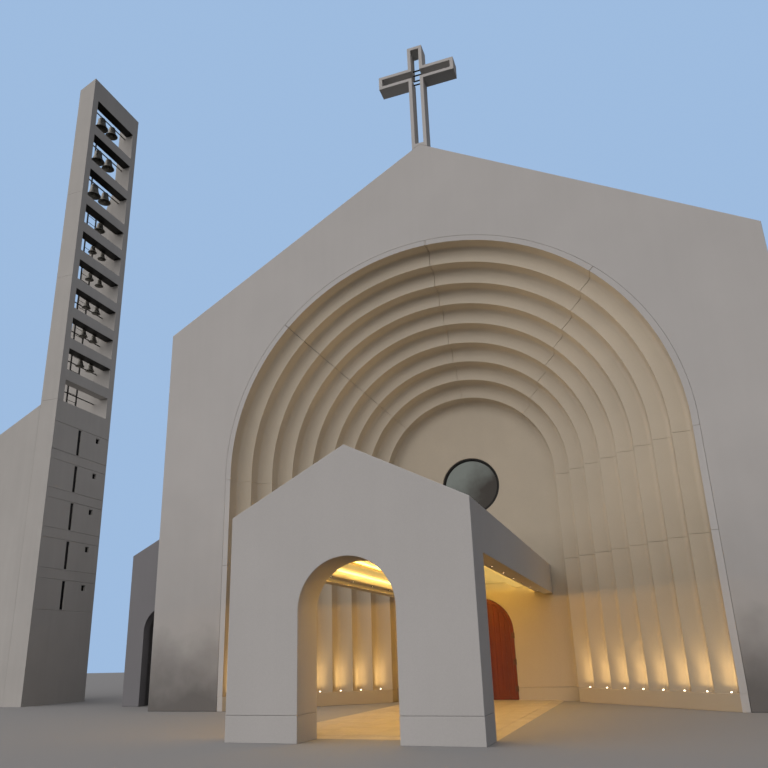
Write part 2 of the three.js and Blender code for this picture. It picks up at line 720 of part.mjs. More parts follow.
addRecess();
addFront();
addPortal();
addDoors();
addPorch();
addCross();
addNave();
addSidePassages();
addTower();
addBells();

export default church;
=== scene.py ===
# %% [markdown]
# A modern church in pale cast stone: a gabled front with a deep stepped arch, a gabled porch, an open
# cross on the ridge, a plain nave with two side passages, and a slender bell tower beside it.
# The frame gives every piece its real place in metres. This lesson gives the pieces their finish:
# softened edges, joints, lamps, seams, boards and bells, each built from a few points with bmesh.

# %% Load the frame
import math

import bmesh
import bpy
from mathutils import Matrix, Vector


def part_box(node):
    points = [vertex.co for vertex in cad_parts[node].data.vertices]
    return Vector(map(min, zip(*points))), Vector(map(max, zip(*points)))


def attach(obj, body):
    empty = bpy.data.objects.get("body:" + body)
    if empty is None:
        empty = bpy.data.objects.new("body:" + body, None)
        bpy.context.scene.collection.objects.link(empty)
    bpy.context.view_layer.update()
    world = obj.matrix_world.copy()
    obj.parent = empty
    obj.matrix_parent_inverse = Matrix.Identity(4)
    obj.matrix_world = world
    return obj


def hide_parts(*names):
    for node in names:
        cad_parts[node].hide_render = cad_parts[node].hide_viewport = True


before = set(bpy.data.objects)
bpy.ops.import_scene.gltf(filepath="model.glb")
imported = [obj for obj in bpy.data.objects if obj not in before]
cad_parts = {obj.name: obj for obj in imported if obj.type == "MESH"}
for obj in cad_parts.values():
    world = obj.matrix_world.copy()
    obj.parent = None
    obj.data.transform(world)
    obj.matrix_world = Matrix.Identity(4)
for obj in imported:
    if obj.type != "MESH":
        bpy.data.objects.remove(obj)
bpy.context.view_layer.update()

# %% [markdown]
# The camera stands in the square in front of the church, at eye level, a little right of the axis.
# A camera can be turned with three angles, but a picture taken by hand is also slightly rolled, so it is
# easier to work out the direction it looks in and to build the turn from its right, up and back axes.
# A small shift moves the middle of the picture without bending the upright edges.

# %% Camera
CAMERA_PLACE = Vector((5.875, -23.093, 1.65))
CAMERA_YAW = math.radians(-20.05)
CAMERA_PITCH = math.radians(18.62)
CAMERA_ROLL = math.radians(-1.4)
LENS = 33.89
SENSOR = 36
SHIFT = (0.0245, 0.0380)
SIGHT = 500


def add_camera():
    data = bpy.data.cameras.new("camera")
    data.lens = LENS
    data.sensor_width = SENSOR
    data.shift_x, data.shift_y = SHIFT
    data.clip_end = SIGHT
    level = Vector((math.sin(CAMERA_YAW), math.cos(CAMERA_YAW), 0))
    ahead = level * math.cos(CAMERA_PITCH) + Vector((0, 0, math.sin(CAMERA_PITCH)))
    right = ahead.cross(Vector((0, 0, 1))).normalized()
    up = right.cross(ahead)
    right, up = (
        right * math.cos(CAMERA_ROLL) + up * math.sin(CAMERA_ROLL),
        up * math.cos(CAMERA_ROLL) - right * math.sin(CAMERA_ROLL),
    )
    camera = bpy.data.objects.new("camera", data)
    axes = Matrix((right, up, -ahead)).transposed().to_4x4()
    camera.matrix_world = Matrix.Translation(CAMERA_PLACE) @ axes
    bpy.context.scene.collection.objects.link(camera)
    bpy.context.scene.camera = camera


add_camera()
print("camera looks up by", round(math.degrees(CAMERA_PITCH), 1), "degrees")

# %% [markdown]
# Nearly every piece of a building is a flat outline with a thickness. An outline is a list of points in
# one of three planes: level, or upright and facing the front or the side. These helpers draw the simple
# parts of an outline, so that a piece later needs only the few points that are its own.

# %% Helpers for outlines
TOUCH = 1e-4
QUARTER = math.pi / 2
FULL_TURN = 2 * math.pi
ARC_TURNS = 24
SIDES = {"left": -1, "right": 1}
X, Y, Z = range(3)
RIGHTWARD = Vector((1, 0, 0))
BACKWARD = Vector((0, 1, 0))
UPWARD = Vector((0, 0, 1))


def facing_plane(y):
    """A plane parallel to the front: points are (x, z)."""
    return lambda a, b: Vector((a, y, b))


def side_plane(x):
    """A plane parallel to the side walls: points are (y, z)."""
    return lambda a, b: Vector((x, a, b))


def floor_plane(z):
    """A level plane: points are (x, y)."""
    return lambda a, b: Vector((a, b, z))


def arc(centre, radius, start, end, steps=2 * ARC_TURNS):
    """Points on an arc, with angles in radians anticlockwise from the first axis."""
    angles = [start + (end - start) * i / steps for i in range(steps + 1)]
    return [(centre[0] + radius * math.cos(a), centre[1] + radius * math.sin(a)) for a in angles]


def rectangle(low_a, low_b, high_a, high_b):
    return [(low_a, low_b), (high_a, low_b), (high_a, high_b), (low_a, high_b)]


def scaled(points, across, up):
    return [(a * across, b * up) for a, b in points]


def flip(points, side):
    return scaled(points, side, 1)


def flush(verts, axis, level):
    """Whether all these corners lie at one level of an axis."""
    return all(abs(vert.co[axis] - level) < TOUCH for vert in verts)


print("outline helpers ready")

# %% [markdown]
# A bmesh is a mesh in the making, and its operators do the modelling: an extrude pushes a face
# out, a mirror makes a half whole, a spin turns a profile round an axis. A real cast edge is never knife
# sharp either, so a small bevel takes the hard edge off every outward corner and catches the light.

# %% Helpers for solids
HARD_ANGLE = math.radians(30)
SMOOTH_ANGLE = math.radians(12)
FLAT_ANGLE = math.radians(1)
ARRIS = 0.012
ROD_STEPS = 16


def of_kind(items, kind):
    return [item for item in items if isinstance(item, kind)]


def push(bm, faces, reach):
    """Extrudes faces by a vector and returns the moved ones."""
    lifted = bmesh.ops.extrude_face_region(bm, geom=faces)["geom"]
    bmesh.ops.translate(bm, verts=of_kind(lifted, bmesh.types.BMVert), vec=reach)
    return of_kind(lifted, bmesh.types.BMFace)


def draw(bm, points, plane):
    return bm.faces.new([bm.verts.new(plane(*point)) for point in points])


def prism(bm, points, plane, reach):
    """A solid with the outline's section, from its plane as far as the vector reaches."""
    return push(bm, [draw(bm, points, plane)], reach)[0]


def block(bm, low, high):
    """A box between two corners, pushed up from its base."""
    base = rectangle(low[0], low[1], high[0], high[1])
    prism(bm, base, floor_plane(low[2]), UPWARD * (high[2] - low[2]))


def mirror_half(bm):
    """Opens the half at the axis and adds the other half to it."""
    inner = [face for face in bm.faces if flush(face.verts, X, 0)]
    bmesh.ops.delete(bm, geom=inner, context="FACES_ONLY")
    whole = bm.verts[:] + bm.edges[:] + bm.faces[:]
    bmesh.ops.mirror(bm, geom=whole, axis="X", merge_dist=TOUCH)


def bevel(bm, edges, width, segments=2):
    bmesh.ops.bevel(
        bm, geom=edges, offset=width, offset_type="OFFSET", affect="EDGES", segments=segments,
        profile=0.5, material=-1, clamp_overlap=True,
    )


def soften(bm, width, segments=2, only=None):
    """Bevels the outward corners, or only some of them."""
    bmesh.ops.recalc_face_normals(bm, faces=bm.faces)
    outward = [edge for edge in bm.edges if edge.is_manifold and edge.is_convex]
    corners = [edge for edge in outward if edge.calc_face_angle() > HARD_ANGLE]
    bevel(bm, [edge for edge in corners if only is None or only(edge)], width, segments)


def turn(bm, profile, centre, steps=ARC_TURNS, up=UPWARD, out=RIGHTWARD, closed=False, finish=0):
    """Spins a profile of (distance out, height up) points round the axis through the centre."""
    old = set(bm.faces)
    centre = Vector(centre)
    points = [bm.verts.new(centre + out * radius + up * height) for radius, height in profile]
    pairs = list(zip(points, points[1:]))
    if closed:
        pairs.append((points[-1], points[0]))
    edges = [bm.edges.new(pair) for pair in pairs]
    bmesh.ops.spin(
        bm, geom=points + edges, cent=centre, axis=up, angle=FULL_TURN, steps=steps, use_merge=True
    )
    corners = list({vert for face in bm.faces if face not in old for vert in face.verts})
    bmesh.ops.remove_doubles(bm, verts=corners, dist=TOUCH)
    for face in bm.faces:
        if face not in old:
            face.material_index = finish


def rod(bm, start, end, radius, steps=ROD_STEPS):
    """A round bar between two points."""
    along = Vector(end) - Vector(start)
    up = along.normalized()
    bar = [(0, 0), (radius, 0), (radius, along.length), (0, along.length)]
    turn(bm, bar, start, steps, up=up, out=up.orthogonal().normalized())


def finish_piece(name, bm, materials, replaced=(), body="church"):
    """Turns a bmesh into an object at the origin, which rides on a body and replaces plain nodes."""
    bmesh.ops.recalc_face_normals(bm, faces=bm.faces)
    for face in bm.faces:
        face.smooth = True
    for edge in bm.edges:
        edge.smooth = edge.is_manifold and edge.calc_face_angle() < SMOOTH_ANGLE
    mesh = bpy.data.meshes.new(name)
    bm.to_mesh(mesh)
    bm.free()
    for material in materials:
        mesh.materials.append(material)
    piece = bpy.data.objects.new(name, mesh)
    bpy.context.scene.collection.objects.link(piece)
    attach(piece, body)
    if replaced:
        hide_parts(*replaced)
    print(name, len(mesh.polygons), "faces")


def cast(
    name, outline, near, far, material, replaced=(), edge=ARRIS, half=False, only=None
):
    """A piece from one (x, z) outline, whole or half, pushed back from near to far and softened."""
    bm = bmesh.new()
    prism(bm, outline, facing_plane(near), BACKWARD * (far - near))
    if half:
        mirror_half(bm)
    soften(bm, edge, only=only)
    finish_piece(name, bm, [material], replaced)


print("solid helpers ready")

# %% [markdown]
# A finish is a small network of nodes. Each helper adds one node and returns the socket that comes out
# of it, so a network reads like a sum. A noise reads the Object coordinates: those are metres on the
# building itself, so clouds and grain have the same size on every piece and run on across a joint.

# %% Helpers for finishes
# The Mix node's colour inputs and its colour output.
MIX_FIRST, MIX_SECOND, MIX_RESULT = 6, 7, 2
# The range in which nearly all of a noise lies.
NOISE_LOW, NOISE_HIGH = 0.3, 0.7


def feed(tree, target, inputs):
    """Gives each input of a node its value, or joins it to a socket."""
    for key, value in inputs.items():
        if isinstance(value, bpy.types.NodeSocket):
            tree.links.new(value, target.inputs[key])
        else:
            target.inputs[key].default_value = value


def node(tree, kind, inputs=None, output=0, **settings):
    made = tree.nodes.new("ShaderNode" + kind)
    for setting, value in settings.items():
        setattr(made, setting, value)
    feed(tree, made, inputs or {})
    return made.outputs[output]


def place_on_object(tree, stretch=(1, 1, 1)):
    """Object coordinates, stretched by a scale on each axis."""
    coordinates = node(tree, "TexCoord", output="Object")
    return node(tree, "Mapping", {"Vector": coordinates, "Scale": stretch})


def noise(tree, scale, detail=2, stretch=(1, 1, 1)):
    place = place_on_object(tree, stretch)
    return node(tree, "TexNoise", {"Vector": place, "Scale": scale, "Detail": detail})


def calculate(tree, operation, first, second=0):
    return node(tree, "Math", {0: first, 1: second}, operation=operation)


def spread(tree, value, low=NOISE_LOW, high=NOISE_HIGH, to_low=0, to_high=1):
    """Stretches a value from one range to another, clamped."""
    return node(tree, "MapRange", {0: value, 1: low, 2: high, 3: to_low, 4: to_high})


def blend(tree, amount, first, second):
    """Mixes two colours, each a socket or red, green and blue."""
    first, second = (c if isinstance(c, bpy.types.NodeSocket) else (*c, 1) for c in (first, second))
    colours = {0: amount, MIX_FIRST: first, MIX_SECOND: second}
    return node(tree, "Mix", colours, MIX_RESULT, data_type="RGBA")


def shades(tree, amount, colour, low, high):
    """Mixes a darker and a lighter shade of one colour."""
    dark, light = ([channel * factor for channel in colour] for factor in (low, high))
    return blend(tree, amount, dark, light)


def tinted(tree, colour, value, saturation=1):
    return node(tree, "HueSaturation", {"Color": colour, "Value": value, "Saturation": saturation})


def bump(tree, height, strength, distance):
    return node(tree, "Bump", {"Height": height, "Strength": strength, "Distance": distance})


def new_finish(name):
    material = bpy.data.materials.new(name)
    material.use_nodes = True
    return material, material.node_tree


def fill_shader(tree, **inputs):
    """Feeds the shader: an underscore in a name stands for a space."""
    feed(tree, tree.nodes["Principled BSDF"], {key.replace("_", " "): inputs[key] for key in inputs})


print("finish helpers ready")

# %% [markdown]
# The stone of this church is a sprayed render over cast concrete: nearly one colour, but with cloudy
# patches some metres wide, faint upright streaks from rain, and a sandy grain of a few millimetres. Three
# noises give these three scales, each weak on its own, and the finest also drives the bump. Towards the
# ground a darkening follows the height with a ragged edge: on the front it is painted shade with splashed
# dirt at the foot, and on the great arch it is a warmer painted shade that grows downwards.

# %% Stone
SHADE_AND_STAIN_EDGE = 0.35
# The front darkens towards the ground: the upper band is painted shade, the lower one splashed dirt with
# painted shade.
FRONT_STAINS_AND_SHADE = ((8.5, 3.0, 1.0, 0.86), (2.8, 0.4, 1.4, 0.36))
# Painted shade on the great arch, warmer and darker towards the bottom.
RECESS_PAINTED_SHADE = ((14.0, 3.0, 1.15, 0.62),)
WALL_GREY = (0.505, 0.486, 0.475)


def ragged_height(tree):
    """The height above the ground, made uneven by a noise a metre or so wide."""
    level = node(tree, "SeparateXYZ", {0: place_on_object(tree)}, Z)
    shift = spread(tree, noise(tree, scale=0.9, detail=4), to_low=-SHADE_AND_STAIN_EDGE, to_high=SHADE_AND_STAIN_EDGE)
    return calculate(tree, "ADD", level, shift)


def stone_finish(name, colour, cloud=0.03, streak=0.02, grain=0.05, stains_and_shade=()):
    """Sprayed render. A darkening (painted shade, with dirt at the front's foot): start and full heights,
    saturation, value.
    """
    material, tree = new_finish(name)
    clouds = spread(tree, noise(tree, scale=0.45, detail=4))
    runs = spread(tree, noise(tree, scale=1.0, detail=3, stretch=(3, 3, 0.22)), high=0.75)
    sand = noise(tree, scale=55, detail=3)
    base = shades(tree, clouds, colour, 1 - cloud, 1 + cloud)
    # Painted shade that darkens towards the bottom, with real dirt in the front's lowest band.
    for start, full, saturation, value in stains_and_shade:
        darkened = tinted(tree, base, value, saturation)
        base = blend(tree, spread(tree, ragged_height(tree), start, full), base, darkened)
    streaked = blend(tree, runs, base, tinted(tree, base, 1 - streak))
    grains = spread(tree, sand, low=0.35, high=0.65)
    toned = blend(tree, grains, streaked, tinted(tree, streaked, 1 + grain))
    rough = spread(tree, clouds, low=0, high=1, to_low=0.82, to_high=0.92)
    relief = bump(tree, sand, strength=0.35, distance=0.004)
    fill_shader(tree, Base_Color=toned, Roughness=rough, Normal=relief)
    return material


WALL_STONE = stone_finish("wall_stone", WALL_GREY)
FRONT_STONE = stone_finish("front_stone", WALL_GREY, stains_and_shade=FRONT_STAINS_AND_SHADE)
RECESS_STONE = stone_finish("recess_stone", (0.67, 0.59, 0.475), stains_and_shade=RECESS_PAINTED_SHADE)
print("stone finishes made")

# %% [markdown]
# The great arch is what makes this front. Nine square steps lead in from the front to the portal wall.
# Each inner corner is a cove, a hollow quarter round, which makes the soft shading between the steps. The
# outline of the steps is needed for the jambs and for the arch, so it is a function of its own.

# %% Sizes of the great arch
jamb_low, jamb_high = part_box("recess_right_jamb")
PLINTH_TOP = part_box("recess_right_plinth")[1].z
portal_low, portal_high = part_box("portal_upper_wall")
BORDER = 0.2
ARCH_STEPS = 9
ARCH_SPRING = jamb_high.z
BORDER_RADIUS = jamb_high.x
ARCH_RADIUS = BORDER_RADIUS - BORDER
INNER_RADIUS = jamb_low.x
STEP = (ARCH_RADIUS - INNER_RADIUS) / (ARCH_STEPS - 1)
PORTAL_FRONT, PORTAL_BACK = portal_low.y, portal_high.y
SHELL_COVER = 0.37
COVE = 0.16
COVE_STEPS = 8
print("step", round(STEP, 3), "m, recess", round(PORTAL_FRONT, 3), "m deep")


def shell_outline():
    """The hidden back of the shell: it slants at 45 degrees behind the steps."""
    reach = ARCH_RADIUS + STEP + SHELL_COVER * math.sqrt(2)
    inner = INNER_RADIUS + PORTAL_BACK - PORTAL_FRONT
    slant = [(inner, PORTAL_BACK), (inner, reach - inner), (BORDER_RADIUS, reach - BORDER_RADIUS)]
    return slant + [(BORDER_RADIUS, 0)]


def stepped_outline():
    """Distance from the arch's axis, and depth behind the front, along the nine steps and their coves."""
    points = [(ARCH_RADIUS, 0)]
    for i in range(ARCH_STEPS):
        radius = ARCH_RADIUS - STEP * i
        depth = STEP * (i + 1)
        points += arc((radius - COVE, depth - COVE), COVE, 0, QUARTER, COVE_STEPS)
        points.append((radius - STEP, depth) if i < ARCH_STEPS - 1 else (radius, depth))
    return points + shell_outline()


# %% [markdown]
# Each side of the arch stands on a low plinth and two courses of jamb, with an open joint between them.
# All three are level outlines pushed up. The narrow rim that lies flush with the front has the colour of
# the front wall, so its faces get the second material.

# %% Plinths and jambs
COURSE_JOINT = 4.9
SPRING_JOINT = 8.07
JOINT_HALF = 0.004


def finish_stepped(name, bm, replaced=()):
    soften(bm, ARRIS)
    for face in bm.faces:
        if all(vert.co.y < 2 * ARRIS for vert in face.verts):
            face.material_index = 1
    finish_piece(name, bm, [RECESS_STONE, WALL_STONE], replaced)


plinth_outline = [(ARCH_RADIUS, 0), (INNER_RADIUS, PORTAL_FRONT - STEP), (INNER_RADIUS, PORTAL_BACK)]
# Name, outline, bottom, top, and the node that the course replaces.
COURSES = (
    ("plinth", plinth_outline + shell_outline(), 0, PLINTH_TOP - JOINT_HALF, "plinth"),
    ("upper_jamb", stepped_outline(), COURSE_JOINT + JOINT_HALF, SPRING_JOINT - JOINT_HALF, None),
    ("lower_jamb", stepped_outline(), PLINTH_TOP, COURSE_JOINT - JOINT_HALF, "jamb"),
)
for name, side in SIDES.items():
    for course, outline, bottom, top, node_end in COURSES:
        bm = bmesh.new()
        prism(bm, flip(outline, side), floor_plane(bottom), UPWARD * (top - bottom))
        finish_stepped(f"{name}_{course}", bm, [f"recess_{name}_{node_end}"] if node_end else ())

# %% [markdown]
# The arch is cast in four stones that meet at the crown and half way up. Spin sweeps the same stepped
# outline round the springing, an eighth of a turn less the joint, so the arch always matches the jambs.
# The foot stone also reaches down to the springing joint, so its outline is first pushed straight up.

# %% Arch stones
EIGHTH = math.pi / 4
JOINT_TURN = 0.0012


def add_arch_stone(name, side, starts_at_foot, replaced):
    bm = bmesh.new()
    centre = UPWARD * ARCH_SPRING
    axis = Vector((0, -side, 0))
    outline = flip(stepped_outline(), side)
    if starts_at_foot:
        bottom = SPRING_JOINT + JOINT_HALF
        face = prism(bm, outline, floor_plane(bottom), UPWARD * (ARCH_SPRING - bottom))
        sweep = EIGHTH - JOINT_TURN
    else:
        face = draw(bm, outline, floor_plane(ARCH_SPRING))
        tilt = Matrix.Rotation(EIGHTH + JOINT_TURN, 3, axis)
        bmesh.ops.rotate(bm, verts=face.verts[:], cent=centre, matrix=tilt)
        sweep = EIGHTH - 2 * JOINT_TURN
    profile = [face] + face.edges[:] + face.verts[:]
    bmesh.ops.spin(bm, geom=profile, cent=centre, axis=axis, angle=sweep, steps=ARC_TURNS)
    finish_stepped(name, bm, [replaced])


for name, side in SIDES.items():
    add_arch_stone(f"{name}_arch_foot", side, True, f"recess_arch_{name}_foot")
    add_arch_stone(f"{name}_arch_crown", side, False, f"recess_arch_{name}_crown")

# %% [markdown]
# The front wall is one great gable round the arch. Only its right half is drawn, as a single outline
# with the quarter circle of the arch, and the mirror adds the left half without a seam. A fine groove
# runs round the arch where the wall meets the border: it is simply the two bevels, side by side.

# %% Front wall
FRONT_HALF, WALL, FRONT_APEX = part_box("front_right_gable")[1]
FRONT_EAVE = 14.5
GROOVE_EDGE = 0.016
roof_slope = (FRONT_APEX - FRONT_EAVE) / FRONT_HALF
arch_edge = BORDER_RADIUS + 2 * JOINT_HALF
half = [(arch_edge, 0)] + arc((0, ARCH_SPRING), arch_edge, 0, QUARTER)
half += [(0, FRONT_APEX), (FRONT_HALF, FRONT_EAVE), (FRONT_HALF, 0)]
replaced = ["front_left_pier", "front_right_pier", "front_left_gable", "front_right_gable"]
cast("front_wall", half, 0, WALL, FRONT_STONE, replaced, edge=GROOVE_EDGE, half=True)

# %% [markdown]
# The portal wall closes the arch at the back of the recess. Its door has a round head and above it sits
# a round window, so the half outline runs up one half of the door, on round one half of the window, and
# down the quarter circle of the arch. The low base course is a piece of its own on each side of the door.

# %% Portal wall
left_leaf_low, left_leaf_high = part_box("door_left_leaf")
ring_low, ring_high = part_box("round_window_frame")
portal_pier_low, portal_pier_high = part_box("portal_right_wall")
DOOR_HALF = portal_pier_low.x
DOOR_SPRING = portal_pier_high.z
WINDOW_CENTRE = (ring_low.z + ring_high.z) / 2
WINDOW_RADIUS = 1.15
PORTAL_BASE = 0.466
portal_half = INNER_RADIUS - JOINT_HALF
base_top = PORTAL_BASE + JOINT_HALF
half = [(DOOR_HALF, base_top)] + arc((0, DOOR_SPRING), DOOR_HALF, 0, QUARTER, ARC_TURNS)
half += arc((0, WINDOW_CENTRE), WINDOW_RADIUS, -QUARTER, QUARTER)
half += arc((0, ARCH_SPRING), portal_half, QUARTER, 0) + [(portal_half, base_top)]
cast("portal_wall", half, PORTAL_FRONT, PORTAL_BACK, RECESS_STONE, ["portal_upper_wall"], half=True)
for name, side in SIDES.items():
    base = flip(rectangle(DOOR_HALF, 0, portal_half, PORTAL_BASE), side)
    replaced = [f"portal_{name}_wall"]
    cast(f"portal_{name}_base", base, PORTAL_FRONT, PORTAL_BACK, RECESS_STONE, replaced, edge=ARRIS / 2)

# %% [markdown]
# Painted metal, plaster and zinc have one thing in common: soft patches that change the tone and the
# gloss together, over a finer dent or ripple. So one recipe with different sizes serves them all. Glass
# is another matter: from outside a pane shows the sky, so a painted reflection makes its colour lighter in
# one direction, with a cloudy edge, and slow waves in the surface bend the real reflection.

# %% Metal and glass
def patchy_finish(name, colour, tones, gloss, patches, dents, relief, metallic=0, sharper=0):
    """Patches and dents are noises: scale, detail and stretch. Relief is a bump's strength and distance."""
    material, tree = new_finish(name)
    cloud = noise(tree, *patches)
    amount = spread(tree, cloud, NOISE_LOW + sharper, NOISE_HIGH - sharper)
    fill_shader(
        tree, Base_Color=shades(tree, amount, colour, *tones), Metallic=metallic,
        Roughness=spread(tree, cloud, NOISE_LOW, NOISE_HIGH, *gloss),
        Normal=bump(tree, noise(tree, *dents), *relief),
    )
    return material


def metal_finish(name, colour, roughness):
    return patchy_finish(
        name, colour, tones=(0.75, 1.3), gloss=(roughness - 0.08, roughness + 0.1), patches=(6, 4),
        dents=(90,), relief=(0.12, 0.001), metallic=0.7, sharper=0.05,
    )


def pane_finish(name, dark, light, direction, start, end):
    """Grey glass with a painted reflection of the sky, from dark to light between two distances along a
    direction.
    """
    material, tree = new_finish(name)
    inputs = {0: place_on_object(tree), 1: Vector(direction).normalized()}
    along = node(tree, "VectorMath", inputs, "Value", operation="DOT_PRODUCT")
    cloud = spread(tree, noise(tree, scale=1.6, detail=4), to_low=-0.25, to_high=0.25)
    # Painted reflection of the sky: the colour grows lighter along the direction, with a cloudy edge.
    tint = spread(tree, calculate(tree, "ADD", along, cloud), start, end)
    waves = bump(tree, noise(tree, scale=0.9), strength=0.25, distance=0.02)
    colour = blend(tree, tint, dark, light)
    fill_shader(tree, Base_Color=colour, Roughness=0.06, Metallic=0.55, Normal=waves)
    return material


DARK_STEEL = metal_finish("dark_steel", (0.02, 0.019, 0.018), roughness=0.5)
# The round pane's painted reflection grows lighter up and to the left.
UP_AND_LEFT = (-1, 0, 1)
window_middle = WINDOW_CENTRE / math.sqrt(2)
ROUND_GLASS = pane_finish(
    "round_glass", dark=(0.022, 0.018, 0.014), light=(0.12, 0.135, 0.125), direction=UP_AND_LEFT,
    start=window_middle - WINDOW_RADIUS / 2, end=window_middle + WINDOW_RADIUS / 2,
)
print("metal and glass finishes made")

# %% [markdown]
# The round window is a dark steel ring set a hand's breadth behind the wall's face, with one large pane.
# A ring could be two cylinders cut from each other, but a profile spun round the window's axis gives the
# rebate that holds the glass as well, in one go.

# %% Round window
RING_WIDTH = 0.08
RING_REBATE = 0.02
PANE = 0.024


def window_ring(bm, centre, radius, depth, up, out):
    """A steel ring with a rebate for the glass, turned round the window's axis."""
    inner = radius - RING_WIDTH
    mid = depth / 2
    profile = [
        (radius, 0), (inner + RING_REBATE, 0), (inner, RING_REBATE), (inner, mid - PANE),
        (inner - RING_REBATE, mid - PANE), (inner - RING_REBATE, mid + PANE), (inner, mid + PANE),
        (inner, depth), (radius, depth),
    ]
    turn(bm, profile, centre, 4 * ARC_TURNS, up=up, out=out, closed=True)


def window_pane(bm, centre, radius, up, out):
    rim = radius - RING_WIDTH
    profile = [(0, -PANE / 2), (rim, -PANE / 2), (rim, PANE / 2), (0, PANE / 2)]
    turn(bm, profile, centre, 4 * ARC_TURNS, up=up, out=out)


ring_depth = ring_high.y - ring_low.y
ring_centre = Vector((0, ring_low.y, WINDOW_CENTRE))
bm = bmesh.new()
window_ring(bm, ring_centre, WINDOW_RADIUS - JOINT_HALF, ring_depth, BACKWARD, RIGHTWARD)
finish_piece("round_window_ring", bm, [DARK_STEEL], ["round_window_frame"])
bm = bmesh.new()
pane_centre = ring_centre + BACKWARD * ring_depth / 2
window_pane(bm, pane_centre, WINDOW_RADIUS - JOINT_HALF, BACKWARD, RIGHTWARD)
finish_piece("round_window_pane", bm, [ROUND_GLASS], ["round_window_glass"])

# %% [markdown]
# The doors are varnished red-brown timber. Grain could be a picture of wood, but a noise stretched along
# the board does it at any size. Each board also has a tone of its own: x counted in boards and rounded
# down is the same number all over a board, and a white noise makes a shade from it.

# %% Door timber
BOARD = 0.2


def timber_finish(name, dark, light):
    """Varnished boards: grain lines run up the board, and each board has its own tone."""
    material, tree = new_finish(name)
    fibres = noise(tree, scale=1.0, stretch=(160, 160, 3))
    grain = noise(tree, scale=1.6, detail=5, stretch=(28, 28, 0.9))
    wood = blend(tree, spread(tree, grain), dark, light)
    across = node(tree, "SeparateXYZ", {0: place_on_object(tree, (1 / BOARD, 1, 1))}, X)
    index = calculate(tree, "FLOOR", across)
    tone = node(tree, "TexWhiteNoise", {"W": index}, noise_dimensions="1D")
    fill_shader(
        tree, Base_Color=blend(tree, tone, tinted(tree, wood, value=0.85), wood), Coat_Weight=0.1,
        Roughness=spread(tree, fibres, to_low=0.26, to_high=0.42), Specular_IOR_Level=0.3,
        Normal=bump(tree, fibres, strength=0.2, distance=0.001),
    )
    return material


DOOR_TIMBER = timber_finish("door_timber", dark=(0.115, 0.018, 0.004), light=(0.17, 0.028, 0.006))
print("door timber made")

# %% [markdown]
# Each of the two leaves is one half of a round-headed outline. It is pushed to the leaf's thickness and
# its two faces are inset, which leaves a raised frame. Then the sunk field is cut into upright boards:
# each cut is bevelled and its middle line pressed in, and that makes a V groove.

# %% Door leaves
LEAF_GAP = 0.01
LEAF_MEETING = 0.008
LEAF_FRAME = 0.13
LEAF_SINK = 0.016
GROOVE_HALF = 0.006
LEAF_BEVEL = 0.004
LEAF_SETBACK = 0.02
LEAF_FRONT, LEAF_BACK = PORTAL_FRONT + LEAF_SETBACK, left_leaf_high.y


def groove_boards(bm, y, inward, low, high):
    """Cuts upright lines into the sunk field at y, and presses each in to a V."""
    count = int((high - low) / BOARD)
    for i in range(1, count + 1):
        x = low + (high - low) * i / (count + 1)
        field = [face for face in bm.faces if flush(face.verts, Y, y)]
        borders = {edge for face in field for edge in face.edges}
        corners = {vert for face in field for vert in face.verts}
        whole = field + list(borders) + list(corners)
        cut = bmesh.ops.bisect_plane(
            bm, geom=whole, dist=TOUCH, plane_co=RIGHTWARD * x, plane_no=RIGHTWARD
        )
        bevel(bm, of_kind(cut["geom_cut"], bmesh.types.BMEdge), GROOVE_HALF)
        middle = [v for v in bm.verts if flush([v], X, x) and flush([v], Y, y)]
        bmesh.ops.translate(bm, verts=middle, vec=BACKWARD * inward * GROOVE_HALF)


def on_outer_face(edge):
    return all(min(abs(v.co.y - LEAF_FRONT), abs(v.co.y - LEAF_BACK)) < TOUCH for v in edge.verts)


def add_leaf(name, side):
    bm = bmesh.new()
    radius = DOOR_HALF - LEAF_GAP
    head = math.acos(LEAF_MEETING / radius)
    outline = [(LEAF_MEETING, left_leaf_low.z), (radius, left_leaf_low.z)]
    outline += arc((0, DOOR_SPRING), radius, 0, head, ARC_TURNS)
    front = draw(bm, flip(outline, side), facing_plane(LEAF_FRONT))
    back = push(bm, [front], BACKWARD * (LEAF_BACK - LEAF_FRONT))[0]
    bmesh.ops.recalc_face_normals(bm, faces=bm.faces)
    for thickness, depth in ((LEAF_FRAME, 0), (LEAF_SINK / 2, -LEAF_SINK)):
        bmesh.ops.inset_individual(bm, faces=[front, back], thickness=thickness, depth=depth)
    edges = sorted([side * (LEAF_MEETING + LEAF_FRAME), side * (radius - LEAF_FRAME)])
    groove_boards(bm, LEAF_FRONT + LEAF_SINK, 1, *edges)
    groove_boards(bm, LEAF_BACK - LEAF_SINK, -1, *edges)
    soften(bm, LEAF_BEVEL, only=on_outer_face)
    replaced = [f"door_{name}_leaf"]
    finish_piece(f"{name}_door_leaf", bm, [DOOR_TIMBER], replaced, f"{name}_door")


for name, side in SIDES.items():
    add_leaf(name, side)

# %% [markdown]
# Each leaf hangs on three barrel hinges, a turned knuckle with a strap, and has an upright pull on two
# stand-offs. All of it swings with the leaf, so it rides on the leaf's body and touches nothing else: a
# knuckle stands just clear of the wall, on the very axis that the leaf turns round.

# %% Door metal
HINGE_RADIUS = 0.018
HINGE_HALF = 0.1
HINGE_LEVELS = (0.42, 1.35, 2.28)
KNUCKLE_END = 0.7
STRAP_REACH = 0.09
PULL_LEVELS = (0.85, 1.55)
PULL_INSET = 0.09
PULL_STANDOFF = 0.06
PULL_RADIUS = 0.014
STANDOFF_PART = 0.7
HAIR = JOINT_HALF / 10
BROWN_STEEL = metal_finish("brown_steel", (0.10, 0.045, 0.025), roughness=0.45)


